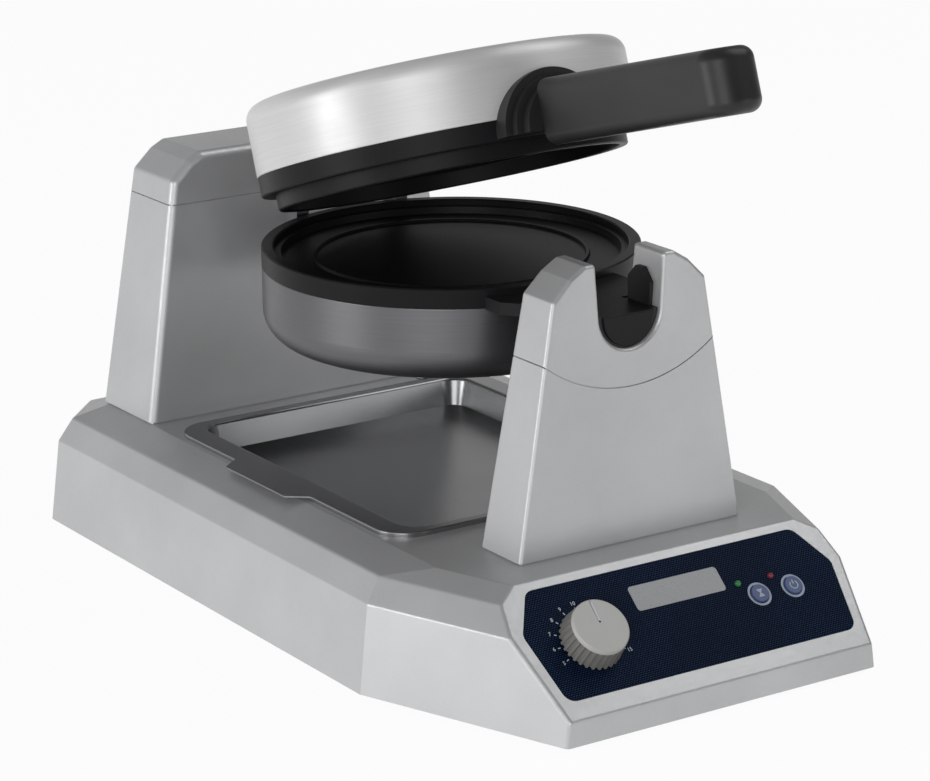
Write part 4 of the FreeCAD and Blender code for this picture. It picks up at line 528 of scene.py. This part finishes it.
def dial_numbers():
    """The seconds round the knob, printed on the film."""
    joined = bpy.data.meshes.new("dial_numbers")
    corners, faces = [], []
    for number in range(DIAL_FIRST, DIAL_LAST + 1):
        text = bpy.data.curves.new("dial_number", "FONT")
        text.body = str(number)
        text.size = NUMBER_SIZE
        text.extrude = INK / 2
        text.align_x, text.align_y = "CENTER", "CENTER"
        text.resolution_u = 4
        data = mesh_of(bpy.data.objects.new("dial_number", text))
        angle = DIAL_TOP - (number - DIAL_MIDDLE) * DIAL_STEP
        x = KNOB_X + NUMBER_RADIUS * math.cos(angle)
        u = KNOB_U + NUMBER_RADIUS * math.sin(angle)
        data.transform(on_panel(x, u, FILM_TOP + INK / 2))
        start = len(corners)
        corners.extend(tuple(vertex.co) for vertex in data.vertices)
        faces.extend([start + place for place in face.vertices] for face in data.polygons)
        bpy.data.meshes.remove(data)
    joined.from_pydata(corners, [], faces)
    return joined


def dial_ticks(ink):
    """A tick for every second, set round the knob by Geometry Nodes."""
    tree = bpy.data.node_groups.new("dial_ticks", "GeometryNodeTree")
    face = tree.interface
    face.new_socket("Geometry", in_out="OUTPUT", socket_type="NodeSocketGeometry")
    inputs = (
        ("Count", "NodeSocketInt", DIAL_LAST - DIAL_FIRST + 1),
        ("First Angle", "NodeSocketFloat", DIAL_TOP + (DIAL_MIDDLE - DIAL_FIRST) * DIAL_STEP),
        ("Step", "NodeSocketFloat", DIAL_STEP),
        ("Radius", "NodeSocketFloat", TICK_RADIUS),
        ("Length", "NodeSocketFloat", TICK_LENGTH),
        ("Width", "NodeSocketFloat", TICK_WIDTH),
        ("Thickness", "NodeSocketFloat", INK),
    )
    sizes = {}
    for name, kind, value in inputs:
        sizes[face.new_socket(name, in_out="INPUT", socket_type=kind).identifier] = value
    given = node(tree, "NodeGroupInput").outputs
    index = node(tree, "GeometryNodeInputIndex")
    along = node(tree, "ShaderNodeMath", {0: index.outputs[0], 1: given["Step"]}, operation="MULTIPLY")
    angle = node(tree, "ShaderNodeMath", {0: given["First Angle"], 1: along.outputs[0]}, operation="SUBTRACT")
    across = node(tree, "ShaderNodeMath", {0: angle.outputs[0]}, operation="COSINE")
    up = node(tree, "ShaderNodeMath", {0: angle.outputs[0]}, operation="SINE")
    way = node(tree, "ShaderNodeCombineXYZ", {"X": across.outputs[0], "Y": up.outputs[0]})
    spot = node(tree, "ShaderNodeVectorMath", {
        0: way.outputs[0], "Scale": given["Radius"],
    }, operation="SCALE")
    points = node(tree, "GeometryNodePoints", {"Count": given["Count"], "Position": spot.outputs[0]})
    corner = node(tree, "ShaderNodeMath", {0: given["Width"], 1: TICK_ROUND_SHARE}, operation="MULTIPLY")
    bar = node(tree, "GeometryNodeCurvePrimitiveQuadrilateral", {
        "Width": given["Length"], "Height": given["Width"],
    })
    soft = node(tree, "GeometryNodeFilletCurve", {
        "Curve": bar.outputs[0], "Count": 3, "Radius": corner.outputs[0],
    }, mode="POLY")
    sheet = node(tree, "GeometryNodeFillCurve", {"Curve": soft.outputs[0]}, mode="NGONS")
    raised = node(tree, "GeometryNodeExtrudeMesh", {
        "Mesh": sheet.outputs[0], "Offset Scale": given["Thickness"],
    })
    under = node(tree, "GeometryNodeFlipFaces", {"Mesh": sheet.outputs[0]})
    shell = node(tree, "GeometryNodeJoinGeometry")
    tree.links.new(raised.outputs["Mesh"], shell.inputs[0])
    tree.links.new(under.outputs[0], shell.inputs[0])
    closed = node(tree, "GeometryNodeMergeByDistance", {"Geometry": shell.outputs[0], "Distance": 0.001})
    turn = node(tree, "ShaderNodeCombineXYZ", {"Z": angle.outputs[0]})
    aim = node(tree, "FunctionNodeEulerToRotation", {0: turn.outputs[0]})
    ticks = node(tree, "GeometryNodeInstanceOnPoints", {
        "Points": points.outputs[0], "Instance": closed.outputs[0], "Rotation": aim.outputs[0],
    })
    real = node(tree, "GeometryNodeRealizeInstances", {0: ticks.outputs[0]})
    inked = node(tree, "GeometryNodeSetMaterial", {"Geometry": real.outputs[0], "Material": ink})
    node(tree, "NodeGroupOutput", {0: inked.outputs[0]})
    maker = bpy.data.objects.new("dial_ticks", bpy.data.meshes.new("dial_ticks_seed"))
    modifier = maker.modifiers.new("dial_ticks", "NODES")
    modifier.node_group = tree
    for identifier, value in sizes.items():
        modifier[identifier] = value
    data = mesh_of(maker)
    data.transform(on_panel(KNOB_X, KNOB_U, FILM_TOP))
    return data


def panel_marks():
    """What is printed on the film, the buttons and the knob."""
    pale = screen_ink("pale_screen_ink", "#c9ced6", "#d8dce2", metallic=0.0, rough=0.5)
    silver = screen_ink("silver_screen_ink", "#7c7e81", "#a0a2a4", metallic=0.4, rough=0.42)
    steel = screen_ink("steel_blue_ink", "#98a4b8", "#a9b4c6", metallic=0.0, rough=0.5)
    dark = screen_ink("dark_screen_ink", "#2a2a2a", "#343434", metallic=0.0, rough=0.6)
    on_film, on_button, on_knob = (top + INK / 2 for top in (FILM_TOP, BUTTON_TOP, KNOB_TOP))

    settle("dial_numbers", dial_numbers(), pale, "base")
    settle("dial_ticks", dial_ticks(pale), pale, "base")
    patch = flat_mesh([rounded_bar(*PATCH_SIZE, PATCH_CORNER)], INK)
    patch.transform(on_panel(PATCH_X, PATCH_U, on_film))
    settle("blank_name_patch", patch, silver, "base")
    for name, x in (("start", START_X), ("standby", STANDBY_X)):
        ring = flat_mesh([circle(RING_OUTER), circle(RING_INNER)], INK)
        ring.transform(on_panel(x, BUTTON_U, on_film))
        settle(name + "_ring", ring, steel, "base")

    hourglass = flat_mesh([hourglass_outline()], INK)
    hourglass.transform(on_panel(START_X, BUTTON_U, on_button))
    settle("start_sign", hourglass, steel, "start_button")
    power = flat_mesh([power_arc(), rounded_bar(*BAR_SIZE, BAR_CORNER, BAR_MIDDLE, count=3)], INK)
    power.transform(on_panel(STANDBY_X, BUTTON_U, on_button))
    settle("standby_sign", power, steel, "standby_button")

    aim = Matrix.Rotation(DIAL_TOP, 4, "Z")
    pointer = flat_mesh([rounded_bar(*POINTER_SIZE, POINTER_CORNER, POINTER_MIDDLE, count=3)], INK)
    pointer.transform(on_panel(KNOB_X, KNOB_U, on_knob) @ aim)
    settle("knob_pointer", pointer, pale, "timer_knob")
    dot = flat_mesh([circle(DOT_RADIUS, count=20, middle=DOT_MIDDLE)], INK)
    dot.transform(on_panel(KNOB_X, KNOB_U, on_knob) @ aim)
    settle("knob_dot", dot, dark, "timer_knob")


def hourglass_outline():
    """The start button's sign: its left half from the top down, then the same mirrored."""
    left = [
        (-GLASS_HALF, GLASS_TOP), (-GLASS_HALF, GLASS_SHOULDER), (-GLASS_WAIST, 0.0),
        (-GLASS_HALF, -GLASS_SHOULDER), (-GLASS_HALF, -GLASS_TOP),
    ]
    return left + [(-x, y) for x, y in reversed(left)]


def power_arc():
    """The open ring of the standby button's sign, with its gap at the top."""
    first, whole = math.pi / 2 + POWER_GAP, 2 * math.pi - 2 * POWER_GAP
    sweep = [first + whole * step / POWER_STEPS for step in range(POWER_STEPS + 1)]
    outer = [(POWER_OUTER * math.cos(t), POWER_OUTER * math.sin(t)) for t in sweep]
    return outer + [(POWER_INNER * math.cos(t), POWER_INNER * math.sin(t)) for t in reversed(sweep)]


def pale_floor():
    """A wide floor of pale paper that shows almost white and keeps the object's shadow."""
    half, white_share = 6.0, 0.95
    corners = [(-half, -half, 0), (half, -half, 0), (half, half, 0), (-half, half, 0)]
    mesh = bpy.data.meshes.new("studio_floor")
    mesh.from_pydata(corners, [], [(0, 1, 2, 3)])
    floor = bpy.data.objects.new("studio_floor", mesh)
    scene.collection.objects.link(floor)
    material, tree, mm = start_material("pale_paper_sweep")
    tooth = node(tree, "ShaderNodeTexNoise", {"Vector": mm, "Scale": 1 / 6, "Detail": 2.0})
    tone = node(tree, "ShaderNodeMix", {
        0: tooth.outputs["Fac"], MIX_A: linear("#f2f2f2"), MIX_B: linear("#f6f6f6"),
    }, data_type="RGBA")
    paper = node(tree, "ShaderNodeBsdfPrincipled", {"Base Color": tone.outputs[MIXED], "Roughness": 0.9})
    white = node(tree, "ShaderNodeEmission", {"Color": (1, 1, 1, 1), "Strength": 1.0})
    rays = node(tree, "ShaderNodeLightPath")
    seen = node(tree, "ShaderNodeMath", {
        0: rays.outputs["Is Camera Ray"], 1: rays.outputs["Is Transmission Ray"],
    }, operation="MAXIMUM")
    shown = node(tree, "ShaderNodeMath", {
        0: seen.outputs[0], 1: rays.outputs["Is Glossy Ray"],
    }, operation="MAXIMUM")
    part = node(tree, "ShaderNodeMath", {0: shown.outputs[0], 1: white_share}, operation="MULTIPLY")
    mixed = node(tree, "ShaderNodeMixShader", {0: part.outputs[0], 1: paper.outputs[0], 2: white.outputs[0]})
    finish_material(tree, mixed)
    mesh.materials.append(material)


def white_room():
    """The room that metal mirrors: bright low down and behind on the left, dim above and in front."""
    world = bpy.data.worlds.new("white_room")
    scene.world = world
    world.use_nodes = True
    tree = world.node_tree
    tree.nodes.clear()
    way = node(tree, "ShaderNodeTexCoord")
    parted = node(tree, "ShaderNodeSeparateXYZ", {"Vector": way.outputs["Generated"]})
    rise = node(tree, "ShaderNodeMapRange", {
        "Value": parted.outputs["Z"], "From Min": 0.1, "From Max": 0.6, "To Min": 0.9, "To Max": 0.25,
    }, interpolation_type="SMOOTHSTEP")
    behind = node(tree, "ShaderNodeVectorMath", {
        0: way.outputs["Generated"], 1: (-0.6, 0.5, 0.0),
    }, operation="DOT_PRODUCT")
    side = node(tree, "ShaderNodeMapRange", {
        "Value": behind.outputs["Value"], "From Min": -0.5, "From Max": 0.4, "To Min": 0.2, "To Max": 1.0,
    }, interpolation_type="SMOOTHSTEP")
    strength = node(tree, "ShaderNodeMath", {
        0: rise.outputs["Result"], 1: side.outputs["Result"],
    }, operation="MULTIPLY")
    back = node(tree, "ShaderNodeBackground", {"Color": (1, 1, 1, 1), "Strength": strength.outputs[0]})
    node(tree, "ShaderNodeOutputWorld", {"Surface": back.outputs["Background"]})


def soft_boxes():
    """Four soft boxes: one at the left, two in front, and one above on the right."""
    # Name, place, the point it faces, width and height, and watts
    boxes = (
        ("left_box", (-1.85, 0.25, 0.3), (0, 0, 0.15), (0.8, 0.5), 7.0),
        ("fill_box", (-1.5, -1.5, 0.7), (0, 0, 0.1), (1.2, 1.0), 12.0),
        ("front_box", (0.9, -1.7, 0.35), (0, 0, 0.1), (0.9, 0.5), 2.0),
        ("top_box", (1.0, -0.4, 1.6), (0, 0, 0.1), (1.3, 1.3), 10.0),
    )
    for name, spot, aim, size, power in boxes:
        light = bpy.data.lights.new(name, "AREA")
        light.shape = "RECTANGLE"
        light.size, light.size_y = size
        light.energy = power
        lamp = bpy.data.objects.new(name, light)
        lamp.location = spot
        lamp.rotation_euler = (Vector(aim) - Vector(spot)).to_track_quat("-Z", "Y").to_euler()
        scene.collection.objects.link(lamp)


def photo_camera():
    """The camera that the outlines of the base and the round head gave, for a frame of 930 by 781."""
    focal_px, across_px = 3476.3, 930.0
    spot, forward = (-0.9008, -1.3749, 0.5879), Vector((0.52969, 0.79859, -0.28580)).normalized()
    roll = math.radians(-0.553)
    data = bpy.data.cameras.new("photo_camera")
    data.sensor_fit = "HORIZONTAL"
    data.sensor_width = 36.0
    data.lens = focal_px / across_px * data.sensor_width
    data.shift_x, data.shift_y = -0.00715, -0.0006
    camera = bpy.data.objects.new("photo_camera", data)
    side = forward.cross(Vector((0, 0, 1))).normalized()
    up = side.cross(forward)
    right = side * math.cos(roll) + up * math.sin(roll)
    over = up * math.cos(roll) - side * math.sin(roll)
    turn = Matrix((right, over, -forward)).transposed().to_4x4()
    camera.matrix_world = Matrix.Translation(spot) @ turn
    scene.collection.objects.link(camera)
    scene.camera = camera


finish_cad_pieces()
panel_marks()
pale_floor()
white_room()
soft_boxes()
photo_camera()
